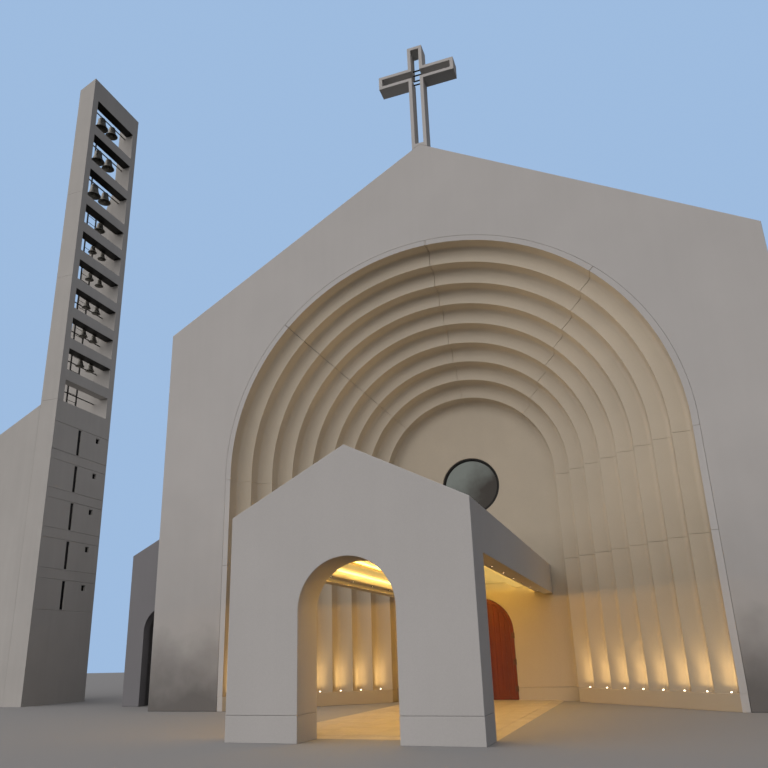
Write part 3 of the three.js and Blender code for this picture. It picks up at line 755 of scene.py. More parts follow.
def add_hinge(bm, side, level):
    hinge_y = PORTAL_FRONT - HINGE_RADIUS - HAIR
    straight = HINGE_HALF - LEAF_BEVEL
    end = HINGE_RADIUS * KNUCKLE_END
    lower = [(0, -HINGE_HALF), (end, -HINGE_HALF), (HINGE_RADIUS, -straight)]
    upper = [(HINGE_RADIUS, straight), (end, HINGE_HALF), (0, HINGE_HALF)]
    turn(bm, lower + upper, (side * DOOR_HALF, hinge_y, level))
    half_leaf = HINGE_RADIUS / 2
    plates = (
        (DOOR_HALF, hinge_y - half_leaf, hinge_y + half_leaf),
        (DOOR_HALF - 2 * LEAF_GAP, hinge_y, LEAF_FRONT + LEAF_BEVEL),
    )
    for end_x, near, far in plates:
        low_x, high_x = sorted([side * (DOOR_HALF - STRAP_REACH), side * end_x])
        block(bm, (low_x, near, level - straight), (high_x, far, level + straight))


def add_door_metal(name, side):
    """Three hinges with their straps, and an upright pull on two stand-offs."""
    bm = bmesh.new()
    for level in HINGE_LEVELS:
        add_hinge(bm, side, level)
    x = side * (LEAF_MEETING + PULL_INSET)
    y = LEAF_FRONT - PULL_STANDOFF
    low, high = PULL_LEVELS
    rod(bm, (x, y, low), (x, y, high), PULL_RADIUS)
    for level in (low + PULL_STANDOFF, high - PULL_STANDOFF):
        rod(bm, (x, LEAF_FRONT + LEAF_BEVEL, level), (x, y, level), PULL_RADIUS * STANDOFF_PART)
    finish_piece(f"{name}_door_metal", bm, [BROWN_STEEL], body=f"{name}_door")


for name, side in SIDES.items():
    add_door_metal(name, side)

# %% [markdown]
# The porch is a small gabled hall that runs from its own front back to the portal wall. Its front has a
# round-headed arch, and at knee height a joint marks the base course. The bevel stays off the planes
# where the front, the hall and the portal wall touch, because a joint there would show as a dark line.

# %% Porch front
porch_low, porch_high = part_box("porch_gable")
porch_pier_low, porch_pier_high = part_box("porch_right_pier")
PORCH_FRONT = porch_low.y
PORCH_HALF, PORCH_BACK, PORCH_APEX = porch_high
PORCH_EAVE = 4.77
PORCH_ARCH_HALF = porch_pier_low.x
PORCH_ARCH_SPRING = porch_pier_high.z
PORCH_BASE = 0.53


def off_joints(edge):
    return not any(flush(edge.verts, Y, y) for y in (PORCH_BACK, PORTAL_FRONT))


base_top = PORCH_BASE + JOINT_HALF
half = [(PORCH_ARCH_HALF, base_top)] + arc((0, PORCH_ARCH_SPRING), PORCH_ARCH_HALF, 0, QUARTER)
half += [(0, PORCH_APEX), (PORCH_HALF, PORCH_EAVE), (PORCH_HALF, base_top)]
cast("porch_front", half, PORCH_FRONT, PORCH_BACK, WALL_STONE, ["porch_gable"], half=True, only=off_joints)
for name, side in SIDES.items():
    base = flip(rectangle(PORCH_ARCH_HALF, 0, PORCH_HALF, PORCH_BASE), side)
    replaced = [f"porch_{name}_pier"]
    cast(f"porch_{name}_base", base, PORCH_FRONT, PORCH_BACK, WALL_STONE, replaced, edge=ARRIS / 2)

# %% [markdown]
# Behind its front, the two beams and the roof of the porch are one folded shell. So its section is drawn
# once, as a half, and pushed back to the portal wall. The underside of each beam steps up to a band with
# lamps and then to a lip, which hides the strip of light that washes the ceiling.

# %% Porch beams and roof
BEAM_INSIDE, _, BEAM_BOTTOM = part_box("porch_right_beam")[0]
PORCH_ROOF = 0.22
BAND_INSIDE = 2.45
BAND_RISE = 0.1
BAND_BOTTOM = BEAM_BOTTOM + BAND_RISE
LIP_INSIDE = 2.15
LIP_THICKNESS = 0.05
LIP_TOP = BAND_BOTTOM + LIP_THICKNESS
porch_slope = (PORCH_APEX - PORCH_EAVE) / PORCH_HALF
half = [
    (PORCH_HALF, BEAM_BOTTOM), (PORCH_HALF, PORCH_EAVE), (0, PORCH_APEX), (0, PORCH_APEX - PORCH_ROOF),
    (BEAM_INSIDE, PORCH_APEX - PORCH_ROOF - porch_slope * BEAM_INSIDE), (BEAM_INSIDE, LIP_TOP),
    (LIP_INSIDE, LIP_TOP), (LIP_INSIDE, BAND_BOTTOM), (BAND_INSIDE, BAND_BOTTOM),
    (BAND_INSIDE, BEAM_BOTTOM),
]
cast(
    "porch_beams_and_roof", half, PORCH_BACK, PORTAL_FRONT, WALL_STONE,
    ["porch_left_beam", "porch_right_beam", "porch_left_roof", "porch_right_roof"],
    edge=ARRIS / 2, half=True, only=off_joints,
)

# %% [markdown]
# The ceiling of the porch is a tray in two levels. The outer level is open along the middle, and light
# strips lie hidden on its lip and on the lips of the beams. So the plaster is brightest beside each lip
# and fades to gold away from it. Flat boards could be laid one by one, but the section is again one half.

# %% Porch ceiling
OUTER_TRAY = 4.02
TRAY_BOARD = 0.06
TRAY_OPENING = 1.42
TRAY_POCKET = 1.78
INNER_TRAY = 4.2
CEILING_PLASTER = patchy_finish(
    "ceiling_plaster", (0.72, 0.62, 0.46), tones=(0.96, 1), gloss=(0.62, 0.76), patches=(2.2, 3),
    dents=(12, 3), relief=(0.15, 0.003),
)
board_top = OUTER_TRAY + TRAY_BOARD
pocket_outside = TRAY_POCKET + TRAY_BOARD
half = [
    (BEAM_INSIDE, OUTER_TRAY), (TRAY_OPENING, OUTER_TRAY), (TRAY_OPENING, board_top),
    (TRAY_POCKET, board_top), (TRAY_POCKET, INNER_TRAY), (0, INNER_TRAY), (0, INNER_TRAY + TRAY_BOARD),
    (pocket_outside, INNER_TRAY + TRAY_BOARD), (pocket_outside, board_top + TRAY_BOARD),
    (BEAM_INSIDE, board_top + TRAY_BOARD),
]
cast(
    "porch_tray_ceiling", half, PORCH_BACK, PORTAL_FRONT, CEILING_PLASTER, ["porch_ceiling"],
    edge=ARRIS / 3, half=True,
)

# %% [markdown]
# Small round lamps sit in the band under each beam and light the floor and the walls. Each is a thin trim
# ring with a lens, turned from two short profiles. The lens only glows enough to be seen.

# %% Porch downlights
LAMP_COLOUR = (1.0, 0.84, 0.6)
LAMP_STRENGTH = 9
DOWNLIGHT_X = 2.29
DOWNLIGHT_FIRST = -7.25
DOWNLIGHT_PITCH = 1.7
DOWNLIGHT_COUNT = 8
DOWNLIGHT_RADIUS = 0.048
TRIM = 0.008


def glow_finish(name, colour, strength):
    """A lamp's lens: it gives off its own light, a little less in some spots."""
    material, tree = new_finish(name)
    emitted = shades(tree, spread(tree, noise(tree, scale=60)), colour, low=0.9, high=1)
    fill_shader(
        tree, Base_Color=(*colour, 1), Roughness=0.3, Emission_Color=emitted, Emission_Strength=strength
    )
    return material


LAMP_GLOW = glow_finish("lamp_glow", LAMP_COLOUR, LAMP_STRENGTH)
downlight_places = [
    Vector((side * DOWNLIGHT_X, DOWNLIGHT_FIRST + i * DOWNLIGHT_PITCH, BAND_BOTTOM))
    for side in SIDES.values()
    for i in range(DOWNLIGHT_COUNT)
]
rim = DOWNLIGHT_RADIUS
hole = rim - 2 * TRIM
trim = [(rim, 0), (rim, -TRIM / 2), (rim - TRIM / 2, -TRIM), (hole, -TRIM), (hole, 0)]
lens = [(0, -TRIM), (hole, -TRIM / 2), (hole, TRIM / 4), (0, TRIM / 4)]
bm = bmesh.new()
for place in downlight_places:
    turn(bm, trim, place, closed=True)
    turn(bm, lens, place, finish=1)
finish_piece("porch_downlights", bm, [DARK_STEEL, LAMP_GLOW])

# %% [markdown]
# The porch floor is honed stone in large square flags. Each flag is its own shallow block with a softened
# rim, laid a few millimetres apart on a bed, so the joints are real and catch the light from the lamps.
# The rim of the bed slopes down to the ground on its open sides, so that nobody trips on it. As on the
# door, a white noise on rounded coordinates gives each flag its own tone.

# %% Porch floor
FLAG_ACROSS = 8
FLAG_JOINT = 0.004
FLAG_BED = 0.006
FLOOR_RAMP = 0.3
floor_low, floor_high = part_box("porch_floor")
flag_width = (floor_high.x - floor_low.x - 2 * FLOOR_RAMP) / FLAG_ACROSS


def flag_finish(name, colour):
    """Honed stone: each flag has its own tone, with fine darker specks."""
    material, tree = new_finish(name)
    grid = place_on_object(tree, (1 / flag_width, 1 / flag_width, 0))
    flag = node(tree, "VectorMath", {0: grid}, operation="FLOOR")
    flagged = shades(tree, node(tree, "TexWhiteNoise", {"Vector": flag}), colour, low=0.92, high=1.05)
    specks = noise(tree, scale=120)
    colour = blend(tree, spread(tree, specks, low=0.4, high=0.6), tinted(tree, flagged, value=0.8), flagged)
    rough = spread(tree, noise(tree, scale=1.5, detail=3), to_low=0.38, to_high=0.55)
    relief = bump(tree, specks, strength=0.1, distance=0.002)
    fill_shader(tree, Base_Color=colour, Roughness=rough, Normal=relief)
    return material


def add_porch_floor():
    bm = bmesh.new()
    near = floor_low.y
    block(bm, (floor_low.x, near, 0), (floor_high.x, PORTAL_FRONT, floor_high.z - FLAG_BED))
    for vert in bm.verts:
        if vert.co.z > TOUCH:
            vert.co.x -= math.copysign(FLOOR_RAMP, vert.co.x)
            vert.co.y += FLOOR_RAMP if vert.co.y < near + TOUCH else 0
    rows = round((PORTAL_FRONT - near - FLOOR_RAMP) / flag_width)
    depth = (PORTAL_FRONT - near - FLOOR_RAMP) / rows
    for i in range(FLAG_ACROSS):
        for j in range(rows):
            x = floor_low.x + FLOOR_RAMP + flag_width * i + FLAG_JOINT / 2
            y = near + FLOOR_RAMP + depth * j + FLAG_JOINT / 2
            far_corner = (x + flag_width - FLAG_JOINT, y + depth - FLAG_JOINT, floor_high.z)
            block(bm, (x, y, FLAG_BED), far_corner)
    door_half = DOOR_HALF - JOINT_HALF
    block(bm, (-door_half, PORTAL_FRONT, 0), (door_half, floor_high.y, floor_high.z))
    soften(bm, FLAG_JOINT, segments=1)
    finish_piece("porch_flags", bm, [FLAG_STONE], ["porch_floor"])


FLAG_STONE = flag_finish("flag_stone", (0.46, 0.41, 0.33))
add_porch_floor()

# %% [markdown]
# The cross is not a solid bar: it is a frame of thin cast plates around an open slot, so the sky shows
# through it. One half outline goes up the outside and back down the inside of the slot. Four dark rods
# cross the slot behind the arms and tie its two sides together.

# %% Cross
CROSS_PLATE = 0.14
CROSS_SHAFT = 0.31
CROSS_ARM_BOTTOM = 24.01
CROSS_ARM_TOP = 24.62
CROSS_SLOT_BOTTOM = 20.87
CROSS_EDGE = 0.01
ROD_LEVELS = (24.7, 24.47, 24.19, 24.0)
ROD_RADIUS = 0.03
cross_low, cross_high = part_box("cross")
arm, _, cross_top = cross_high
slot = CROSS_SHAFT - CROSS_PLATE
foot = FRONT_APEX + HAIR
half = [
    (0, foot), (CROSS_SHAFT, foot - roof_slope * CROSS_SHAFT), (CROSS_SHAFT, CROSS_ARM_BOTTOM),
    (arm, CROSS_ARM_BOTTOM), (arm, CROSS_ARM_TOP), (CROSS_SHAFT, CROSS_ARM_TOP),
    (CROSS_SHAFT, cross_top), (0, cross_top), (0, cross_top - CROSS_PLATE),
    (slot, cross_top - CROSS_PLATE), (slot, CROSS_ARM_TOP - CROSS_PLATE),
    (arm - CROSS_PLATE, CROSS_ARM_TOP - CROSS_PLATE), (arm - CROSS_PLATE, CROSS_ARM_BOTTOM + CROSS_PLATE),
    (slot, CROSS_ARM_BOTTOM + CROSS_PLATE), (slot, CROSS_SLOT_BOTTOM), (0, CROSS_SLOT_BOTTOM),
]
cast("open_cross", half, cross_low.y, cross_high.y, WALL_STONE, ["cross"], edge=CROSS_EDGE, half=True)
cross_middle = (cross_low.y + cross_high.y) / 2
bm = bmesh.new()
for level in ROD_LEVELS:
    rod(bm, (-slot, cross_middle, level), (slot, cross_middle, level), ROD_RADIUS)
finish_piece("cross_rods", bm, [DARK_STEEL])

# %% [markdown]
# Eight small uplights are set into each plinth, each in front of one step and close to its inner corner.
# Each is a low metal ring with a domed lens, turned from two short profiles. The lens only has to look
# bright: a lamp that is added at the end of the lesson draws the tall pool of light on the wall.

# %% Ledge uplights
UPLIGHT_RADIUS = 0.028
UPLIGHT_FROM_CORNER = 0.165
UPLIGHT_FROM_WALL = 0.2
RING_LIFT = 0.012
LENS_PART = 0.86
LENS_RISE = 0.028
LENS_ANGLES = (0, 0.3, 0.6, 0.9, 1.2, 1.4)
RING_CURVE = [(0, 0), (1, 0), (1, 0.6), (0.95, 1), (LENS_PART, 1), (0, 1)]
DOME_CURVE = [(0, 0)] + [(math.cos(a), math.sin(a)) for a in LENS_ANGLES] + [(0, 1)]
steps = [(ARCH_RADIUS - STEP * i, STEP * (i + 1)) for i in range(ARCH_STEPS - 1)]
uplight_places = [
    Vector((side * (x - UPLIGHT_FROM_CORNER), y - UPLIGHT_FROM_WALL, PLINTH_TOP))
    for side in SIDES.values()
    for x, y in steps
]
ring = scaled(RING_CURVE, UPLIGHT_RADIUS, RING_LIFT)
dome = scaled(DOME_CURVE, UPLIGHT_RADIUS * LENS_PART, LENS_RISE)
bm = bmesh.new()
for place in uplight_places:
    turn(bm, ring, place)
    turn(bm, dome, place + UPWARD * RING_LIFT, finish=1)
finish_piece("ledge_uplights", bm, [DARK_STEEL, LAMP_GLOW])

# %% [markdown]
# The nave is hidden from the square, so it stays plain: two long walls, each with five round windows high
# up. A wall with holes starts as loops of edges, the outline and one circle per window. triangle_fill
# closes the area between them, and an extrude gives the wall its thickness. The corners are rounded and
# sorted before flat faces are joined, because chance would otherwise decide which edges stay.

# %% Nave walls
ROUND_COUNT = 5
ROUND_FIRST = 6.8
ROUND_PITCH = 4.6
ROUND_LEVEL = 10.9
ROUND_RADIUS = 0.9
ROUND_STEPS = 64
NAVE_EAVE = 13.95
# The digits of a metre that a corner keeps.
FINE_DIGITS = 5
nave_low, nave_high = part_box("nave_right_wall")
round_centres = [ROUND_FIRST + ROUND_PITCH * i for i in range(ROUND_COUNT)]
# The nave panes carry a painted reflection that grows lighter upwards.
GREY_GLASS = pane_finish(
    "grey_glass", dark=(0.05, 0.045, 0.04), light=(0.13, 0.14, 0.135), direction=UPWARD,
    start=WINDOW_CENTRE, end=WINDOW_CENTRE + 2 * WINDOW_RADIUS,
)


def join_flat(bm):
    """Joins the faces that lie in one plane, always in the same order, so that every run is alike."""
    for vert in bm.verts:
        vert.co = [round(value, FINE_DIGITS) for value in vert.co]
    bm.normal_update()
    verts = sorted(bm.verts, key=lambda vert: vert.co[:])
    edges = sorted(bm.edges, key=lambda edge: (edge.verts[0].co + edge.verts[1].co)[:])
    bmesh.ops.dissolve_limit(bm, angle_limit=FLAT_ANGLE, verts=verts, edges=edges)


def add_pierced(name, outline, holes, outside, inward, material, replaced):
    """A side wall with holes: outline and holes are filled in their plane, then pushed inward."""
    bm = bmesh.new()
    edges = []
    for loop in [outline] + holes:
        corners = [bm.verts.new(side_plane(outside)(*point)) for point in loop]
        edges += [bm.edges.new(pair) for pair in zip(corners, corners[1:] + corners[:1])]
    filled = bmesh.ops.triangle_fill(bm, edges=edges, use_beauty=True, use_dissolve=False)["geom"]
    push(bm, of_kind(filled, bmesh.types.BMFace), RIGHTWARD * inward)
    join_flat(bm)
    finish_piece(name, bm, [material], replaced)


outline = rectangle(nave_low.y, 0, nave_high.y, NAVE_EAVE)
rounds = [arc((y, ROUND_LEVEL), ROUND_RADIUS, 0, FULL_TURN, ROUND_STEPS)[:-1] for y in round_centres]
pane_radius = ROUND_RADIUS - JOINT_HALF
for name, side in SIDES.items():
    add_pierced(
        f"nave_{name}_side", outline, rounds, side * FRONT_HALF, -side * WALL, WALL_STONE,
        [f"nave_{name}_wall"],
    )
    outward = RIGHTWARD * side
    ring_bm, pane_bm = bmesh.new(), bmesh.new()
    for y in round_centres:
        centre = Vector((side * (FRONT_HALF - WALL / 2), y, ROUND_LEVEL))
        window_ring(ring_bm, centre, pane_radius, 2 * RING_WIDTH, outward, BACKWARD)
        window_pane(pane_bm, centre + outward * RING_WIDTH, pane_radius, outward, BACKWARD)
    finish_piece(f"nave_{name}_rings", ring_bm, [DARK_STEEL])
    finish_piece(f"nave_{name}_panes", pane_bm, [GREY_GLASS], [f"nave_{name}_glass"])

# %% [markdown]
# The rear wall closes the nave and both passages with one broken gable. It is the plainest piece of all:
# half an outline, pushed to the wall's thickness and mirrored.

# %% Rear wall
rear_low, rear_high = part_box("nave_rear_wall")
side_low, side_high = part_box("side_right_front_wall")
SIDE_HALF, _, SIDE_TOP = side_high
SIDE_EAVE = 5.9
half = [(0, 0), (SIDE_HALF, 0), (SIDE_HALF, SIDE_EAVE), (FRONT_HALF, SIDE_TOP), (FRONT_HALF, FRONT_EAVE)]
half.append((0, FRONT_APEX))
cast("rear_wall", half, rear_low.y, rear_high.y, WALL_STONE, ["nave_rear_wall"], half=True)

# %% [markdown]
# The roofs are sheet metal with standing seams. A seam is a narrow upright fold that runs down the slope,
# so each one is a thin prism on the roof's slope, repeated along the nave. An array modifier could repeat
# it too, but a loop keeps slope and seams in one mesh. A folded cap covers the ridge.

# %% Roofs
SEAM_PITCH = 0.6
SEAM_WIDTH = 0.024
SEAM_HEIGHT = 0.045
CAP_REACH = 0.22
CAP_THICKNESS = 0.012
ROOF_THICKNESS = 0.35
SIDE_ROOF = 0.2
SIDE_ROOF_DROP = 0.1
roof_low, roof_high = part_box("nave_right_roof")
ZINC = patchy_finish(
    "zinc_roofing", (0.36, 0.37, 0.37), tones=(0.85, 1.1), gloss=(0.42, 0.58),
    patches=(1.2, 4, (0.6, 7, 0.6)), dents=(1.4,), relief=(0.4, 0.01), metallic=0.5,
)


def add_roof(name, side, top, eave, thickness, front, replaced):
    """One slope from the (x, z) of its top to the (x, z) of its eave, with its seams."""
    length = roof_high.y - front
    section = [top, eave, (eave[0], eave[1] - thickness), (top[0], top[1] - thickness)]
    bm = bmesh.new()
    prism(bm, flip(section, side), facing_plane(front), BACKWARD * length)
    soften(bm, ARRIS)
    seam = [top, eave, (eave[0], eave[1] + SEAM_HEIGHT), (top[0], top[1] + SEAM_HEIGHT)]
    count = int(length / SEAM_PITCH)
    first = front + (length - (count - 1) * SEAM_PITCH) / 2
    for i in range(count):
        prism(bm, flip(seam, side), facing_plane(first + i * SEAM_PITCH), BACKWARD * SEAM_WIDTH)
    finish_piece(name, bm, [ZINC], [replaced])


nave_slope = ((0, roof_high.z), (FRONT_HALF, roof_high.z - roof_slope * FRONT_HALF))
passage_slope = ((FRONT_HALF, SIDE_TOP - SIDE_ROOF_DROP), (SIDE_HALF, SIDE_EAVE - SIDE_ROOF_DROP))
for name, side in SIDES.items():
    add_roof(f"nave_{name}_slope", side, *nave_slope, ROOF_THICKNESS, roof_low.y, f"nave_{name}_roof")
    add_roof(f"passage_{name}_slope", side, *passage_slope, SIDE_ROOF, side_high.y, f"side_{name}_roof")
ridge = roof_high.z + SEAM_HEIGHT
cap_low = ridge - roof_slope * CAP_REACH
half = [
    (0, ridge + CAP_THICKNESS), (CAP_REACH, cap_low + CAP_THICKNESS), (CAP_REACH, cap_low - SEAM_HEIGHT),
    (CAP_REACH - CAP_THICKNESS, cap_low - SEAM_HEIGHT), (CAP_REACH - CAP_THICKNESS, cap_low), (0, ridge),
]
cast(
    "ridge_cap", half, roof_low.y, roof_high.y, ZINC, edge=CAP_THICKNESS / 4, half=True
)

# %% [markdown]
# A side passage is a low lean-to with an arched front and five slits along its outer wall. Its walls are
# given a darker grey than the church. The front wall is an outline with the arch cut in from below, and the
# outer wall is filled round its slits, as the nave's is round its windows.

# %% Side passages
outer_low, outer_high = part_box("side_right_outer_wall")
SIDE_ARCH_X = 12.3
SIDE_ARCH_HALF = 0.9
SIDE_ARCH_SPRING = 2.84
SLIT_HALF = 0.15
SLIT_BOTTOM = 2.1
SLIT_TOP = 3.8
PASSAGE_STONE = stone_finish("passage_stone", (0.205, 0.2, 0.212), cloud=0.05)
face = [(FRONT_HALF, 0), (SIDE_ARCH_X - SIDE_ARCH_HALF, 0)]
face += arc((SIDE_ARCH_X, SIDE_ARCH_SPRING), SIDE_ARCH_HALF, math.pi, 0)
face += [(SIDE_ARCH_X + SIDE_ARCH_HALF, 0), (SIDE_HALF, 0), (SIDE_HALF, SIDE_EAVE), (FRONT_HALF, SIDE_TOP)]
outline = rectangle(outer_low.y, 0, outer_high.y, SIDE_EAVE - SIDE_ROOF_DROP - SIDE_ROOF)
slits = [rectangle(y - SLIT_HALF, SLIT_BOTTOM, y + SLIT_HALF, SLIT_TOP) for y in round_centres]
for name, side in SIDES.items():
    replaced = [f"side_{name}_front_wall"]
    cast(f"passage_{name}_front", flip(face, side), side_low.y, side_high.y, PASSAGE_STONE, replaced)
    inward = side * (outer_low.x - outer_high.x)
    replaced = [f"side_{name}_outer_wall"]
    add_pierced(f"passage_{name}_side", outline, slits, side * SIDE_HALF, inward, PASSAGE_STONE, replaced)

# %% [markdown]
# The bell tower is a slab that seen from the front is only a metre wide. Its shaft is hollow with slits
# through both sides. Two boxes, one inside the other, are cut by the same planes, the faces where the
# slits go are taken out of both, and bridge_loops joins the rims. The joint lines of the cast panels are
# scored in: the wall is sliced at three close levels, and the middle line is pressed in.

# %% Tower shaft
tower_low, tower_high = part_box("tower_shaft")
TOWER_PIER = 0.39
TOWER_PANEL = 0.2
TOWER_SLIT_Y = 4.0
TOWER_SLIT_HALF = 0.1
TOWER_SLIT_FIRST = 4.0
TOWER_SLIT_HEIGHT = 1.28
TOWER_PITCH = 1.82
TOWER_WINDOWS = 5
SQUARE_Y = 5.3
SQUARE_HALF = 0.13
SQUARE_FIRST = 4.93
SCORE_OFFSET = 0.04
SCORE_HALF = 0.014
SCORE_DEPTH = 0.025
TOWER_STONE = stone_finish("tower_stone", (0.475, 0.455, 0.435), cloud=0.05, streak=0.05)
slit_sills = [TOWER_SLIT_FIRST + i * TOWER_PITCH for i in range(TOWER_WINDOWS)]
square_sills = [SQUARE_FIRST + i * TOWER_PITCH for i in range(TOWER_WINDOWS)]
tower_slits = [
    (TOWER_SLIT_Y - TOWER_SLIT_HALF, sill, TOWER_SLIT_Y + TOWER_SLIT_HALF, sill + TOWER_SLIT_HEIGHT)
    for sill in slit_sills
]
tower_squares = [
    (SQUARE_Y - SQUARE_HALF, sill, SQUARE_Y + SQUARE_HALF, sill + 2 * SQUARE_HALF) for sill in square_sills
]


def slice_at(bm, normal, levels):
    """Cuts all faces along planes at these distances, and leaves them joined."""
    for level in levels:
        whole = bm.verts[:] + bm.edges[:] + bm.faces[:]
        bmesh.ops.bisect_plane(bm, geom=whole, dist=TOUCH, plane_co=normal * level, plane_no=normal)


def inside_window(face, window):
    middle = face.calc_center_median()
    return window[0] < middle.y < window[2] and window[1] < middle.z < window[3]


def pierce_window(bm, outer_x, inner_x, window):
    """Takes one window out of the outer and the inner skin and joins the two rims."""
    rims = []
    for x in (outer_x, inner_x):
        skin = [face for face in bm.faces if flush(face.verts, X, x)]
        inside = [face for face in skin if inside_window(face, window)]
        rims += [e for f in inside for e in f.edges if sum(n in inside for n in e.link_faces) == 1]
        bmesh.ops.delete(bm, geom=inside, context="FACES_ONLY")
    loose = [e for e in bm.edges if not e.link_faces and e not in rims]
    bmesh.ops.delete(bm, geom=loose, context="EDGES")
    bmesh.ops.bridge_loops(bm, edges=rims)


def score_line(bm, x, z, inward):
    """Presses a V groove into the flat face at x, all along the level z."""
    slice_at(bm, UPWARD, (z - SCORE_HALF, z, z + SCORE_HALF))
    middle = [v for v in bm.verts if flush([v], X, x) and flush([v], Z, z)]
    bmesh.ops.translate(bm, verts=middle, vec=RIGHTWARD * inward * SCORE_DEPTH)


def add_tower_shaft():
    low, high = tower_low, tower_high
    inset = Vector((TOWER_PANEL, TOWER_PIER, TOWER_PANEL))
    bm = bmesh.new()
    block(bm, low, high)
    block(bm, low + inset, high - inset)
    windows = [window for pair in zip(tower_slits, tower_squares) for window in pair]
    slice_at(bm, BACKWARD, sorted({y for window in windows for y in window[::2]}))
    slice_at(bm, UPWARD, sorted({z for window in windows for z in window[1::2]}))
    for window in windows:
        pierce_window(bm, high.x, high.x - TOWER_PANEL, window)
        pierce_window(bm, low.x, low.x + TOWER_PANEL, window)
    join_flat(bm)
    soften(bm, ARRIS, only=lambda edge: all(vert.co.z > low.z + TOUCH for vert in edge.verts))
    for sill in slit_sills:
        score_line(bm, high.x, sill - SCORE_OFFSET, inward=-1)
        score_line(bm, high.x, sill + TOWER_SLIT_HEIGHT + SCORE_OFFSET, inward=-1)
    finish_piece("tower_hollow_shaft", bm, [TOWER_STONE], ["tower_shaft"])


add_tower_shaft()

# %% [markdown]
# Every slit and square of the tower has a dark pane in a thin frame, a little behind the wall's face. The
# pane is a thin sheet: one inset of its face leaves the frame, a second one sinks the glass.

# %% Tower panes
SLIT_PANE_DEPTH = 0.045
SQUARE_PANE_DEPTH = 0.1
PANE_PLAY = 0.002
PANE_FRAME = 0.02
PANE_STEP = 0.001
# The tower panes carry a faint painted reflection that grows lighter upwards.
TOWER_GLASS = pane_finish(
    "tower_glass", dark=(0.012, 0.012, 0.013), light=(0.02, 0.02, 0.022), direction=UPWARD,
    start=0, end=tower_high.z,
)


def add_tower_pane(bm, window, depth, side, wall_face):
    low_y, low_z, high_y, high_z = window
    corners = rectangle(low_y + PANE_PLAY, low_z + PANE_PLAY, high_y - PANE_PLAY, high_z - PANE_PLAY)
    sheet = prism(bm, corners, side_plane(wall_face - side * (depth + PANE)), RIGHTWARD * side * PANE)
    bmesh.ops.inset_individual(bm, faces=[sheet], thickness=PANE_FRAME, depth=0)
    bmesh.ops.inset_individual(bm, faces=[sheet], thickness=PANE_STEP, depth=-PANE / 2)
    sheet.material_index = 1


bm = bmesh.new()
for depth, windows in ((SLIT_PANE_DEPTH, tower_slits), (SQUARE_PANE_DEPTH, tower_squares)):
    for window in windows:
        add_tower_pane(bm, window, depth, 1, tower_high.x)
        add_tower_pane(bm, window, depth, -1, tower_low.x)
finish_piece("tower_panes", bm, [DARK_STEEL, TOWER_GLASS])

# %% [markdown]
# The belfry is a ladder of ten openings, seven short and three tall. A flat face is sliced at every sill
# and head, the faces of the openings are taken out, and the rest is pushed back to the depth of the beams.
# The two piers are pushed on to the full depth, and the top is slanted by lowering its left side.

# %% Belfry
TOWER_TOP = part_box("tower_upper_belfry")[1].z
SHORT_OPENING = 1.11
TALL_OPENING = 1.69
BEAM_HEIGHT = 0.56
BEAM_DEPTH = 0.5
TOP_FALL = 0.5
FIRST_TALL = 7
TALL_COUNT = 3
STAGES = {"lower": (0, 4), "middle": (4, FIRST_TALL), "upper": (FIRST_TALL, FIRST_TALL + TALL_COUNT)}
OPENING_HEIGHTS = [SHORT_OPENING] * FIRST_TALL + [TALL_OPENING] * TALL_COUNT
TOWER_WIDTH = tower_high.x - tower_low.x
opening_low_y = tower_low.y + TOWER_PIER
opening_high_y = tower_high.y - TOWER_PIER
sill = tower_high.z
openings = []
for height in OPENING_HEIGHTS:
    openings.append((sill, sill + height))
    sill += height + BEAM_HEIGHT


def between_piers(face):
    return opening_low_y < face.calc_center_median().y < opening_high_y


def add_belfry_stage(name, gaps, top):
    bm = bmesh.new()
    right, bottom = tower_high.x, gaps[0][0]
    draw(bm, rectangle(tower_low.y, bottom, tower_high.y, top), side_plane(right))
    slice_at(bm, BACKWARD, (opening_low_y, opening_high_y))
    slice_at(bm, UPWARD, sorted({z for gap in gaps for z in gap} - {bottom}))
    windows = [(opening_low_y, sill, opening_high_y, head) for sill, head in gaps]
    open_faces = [f for f in bm.faces if any(inside_window(f, window) for window in windows)]
    bmesh.ops.delete(bm, geom=open_faces, context="FACES")
    back = push(bm, bm.faces[:], RIGHTWARD * -BEAM_DEPTH)
    piers = [face for face in back if not between_piers(face)]
    push(bm, piers, RIGHTWARD * (BEAM_DEPTH - TOWER_WIDTH))
    for vert in bm.verts:
        if vert.co.z > TOWER_TOP - TOUCH:
            vert.co.z -= TOP_FALL * (right - vert.co.x) / TOWER_WIDTH
    join_flat(bm)
    soften(bm, ARRIS)
    finish_piece(f"belfry_{name}", bm, [TOWER_STONE], [f"tower_{name}_belfry"])


for name, (first, last) in STAGES.items():
    stage_top = TOWER_TOP if last == len(openings) else openings[last][0]
    add_belfry_stage(name, openings[first:last], stage_top)

# %% [markdown]
# Two wing walls lean on the tower. The one in front is low and thick. The rear one is a thin, steep fin,
# flush with the back piers: seen through the lower openings it looks like one pale wall with them. Each is
# one outline pushed back, with softened edges.

# %% Wing walls
wing_low, wing_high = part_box("tower_wing_wall")
fin_low, fin_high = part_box("tower_rear_wing_wall")
WING_SLOPE = 0.532
FIN_CORNER = (-21.65, 23.0)
low_top = wing_high.z - WING_SLOPE * (wing_high.x - wing_low.x)
wing = [(wing_low.x, 0), (wing_high.x, 0), (wing_high.x, wing_high.z), (wing_low.x, low_top)]
fin = [(fin_low.x, 0), (fin_high.x, 0), (fin_high.x, fin_high.z), FIN_CORNER]
cast("front_wing_wall", wing, wing_low.y, wing_high.y, TOWER_STONE, ["tower_wing_wall"])
cast("rear_wing_wall", fin, fin_low.y, fin_high.y, TOWER_STONE, ["tower_rear_wing_wall"])
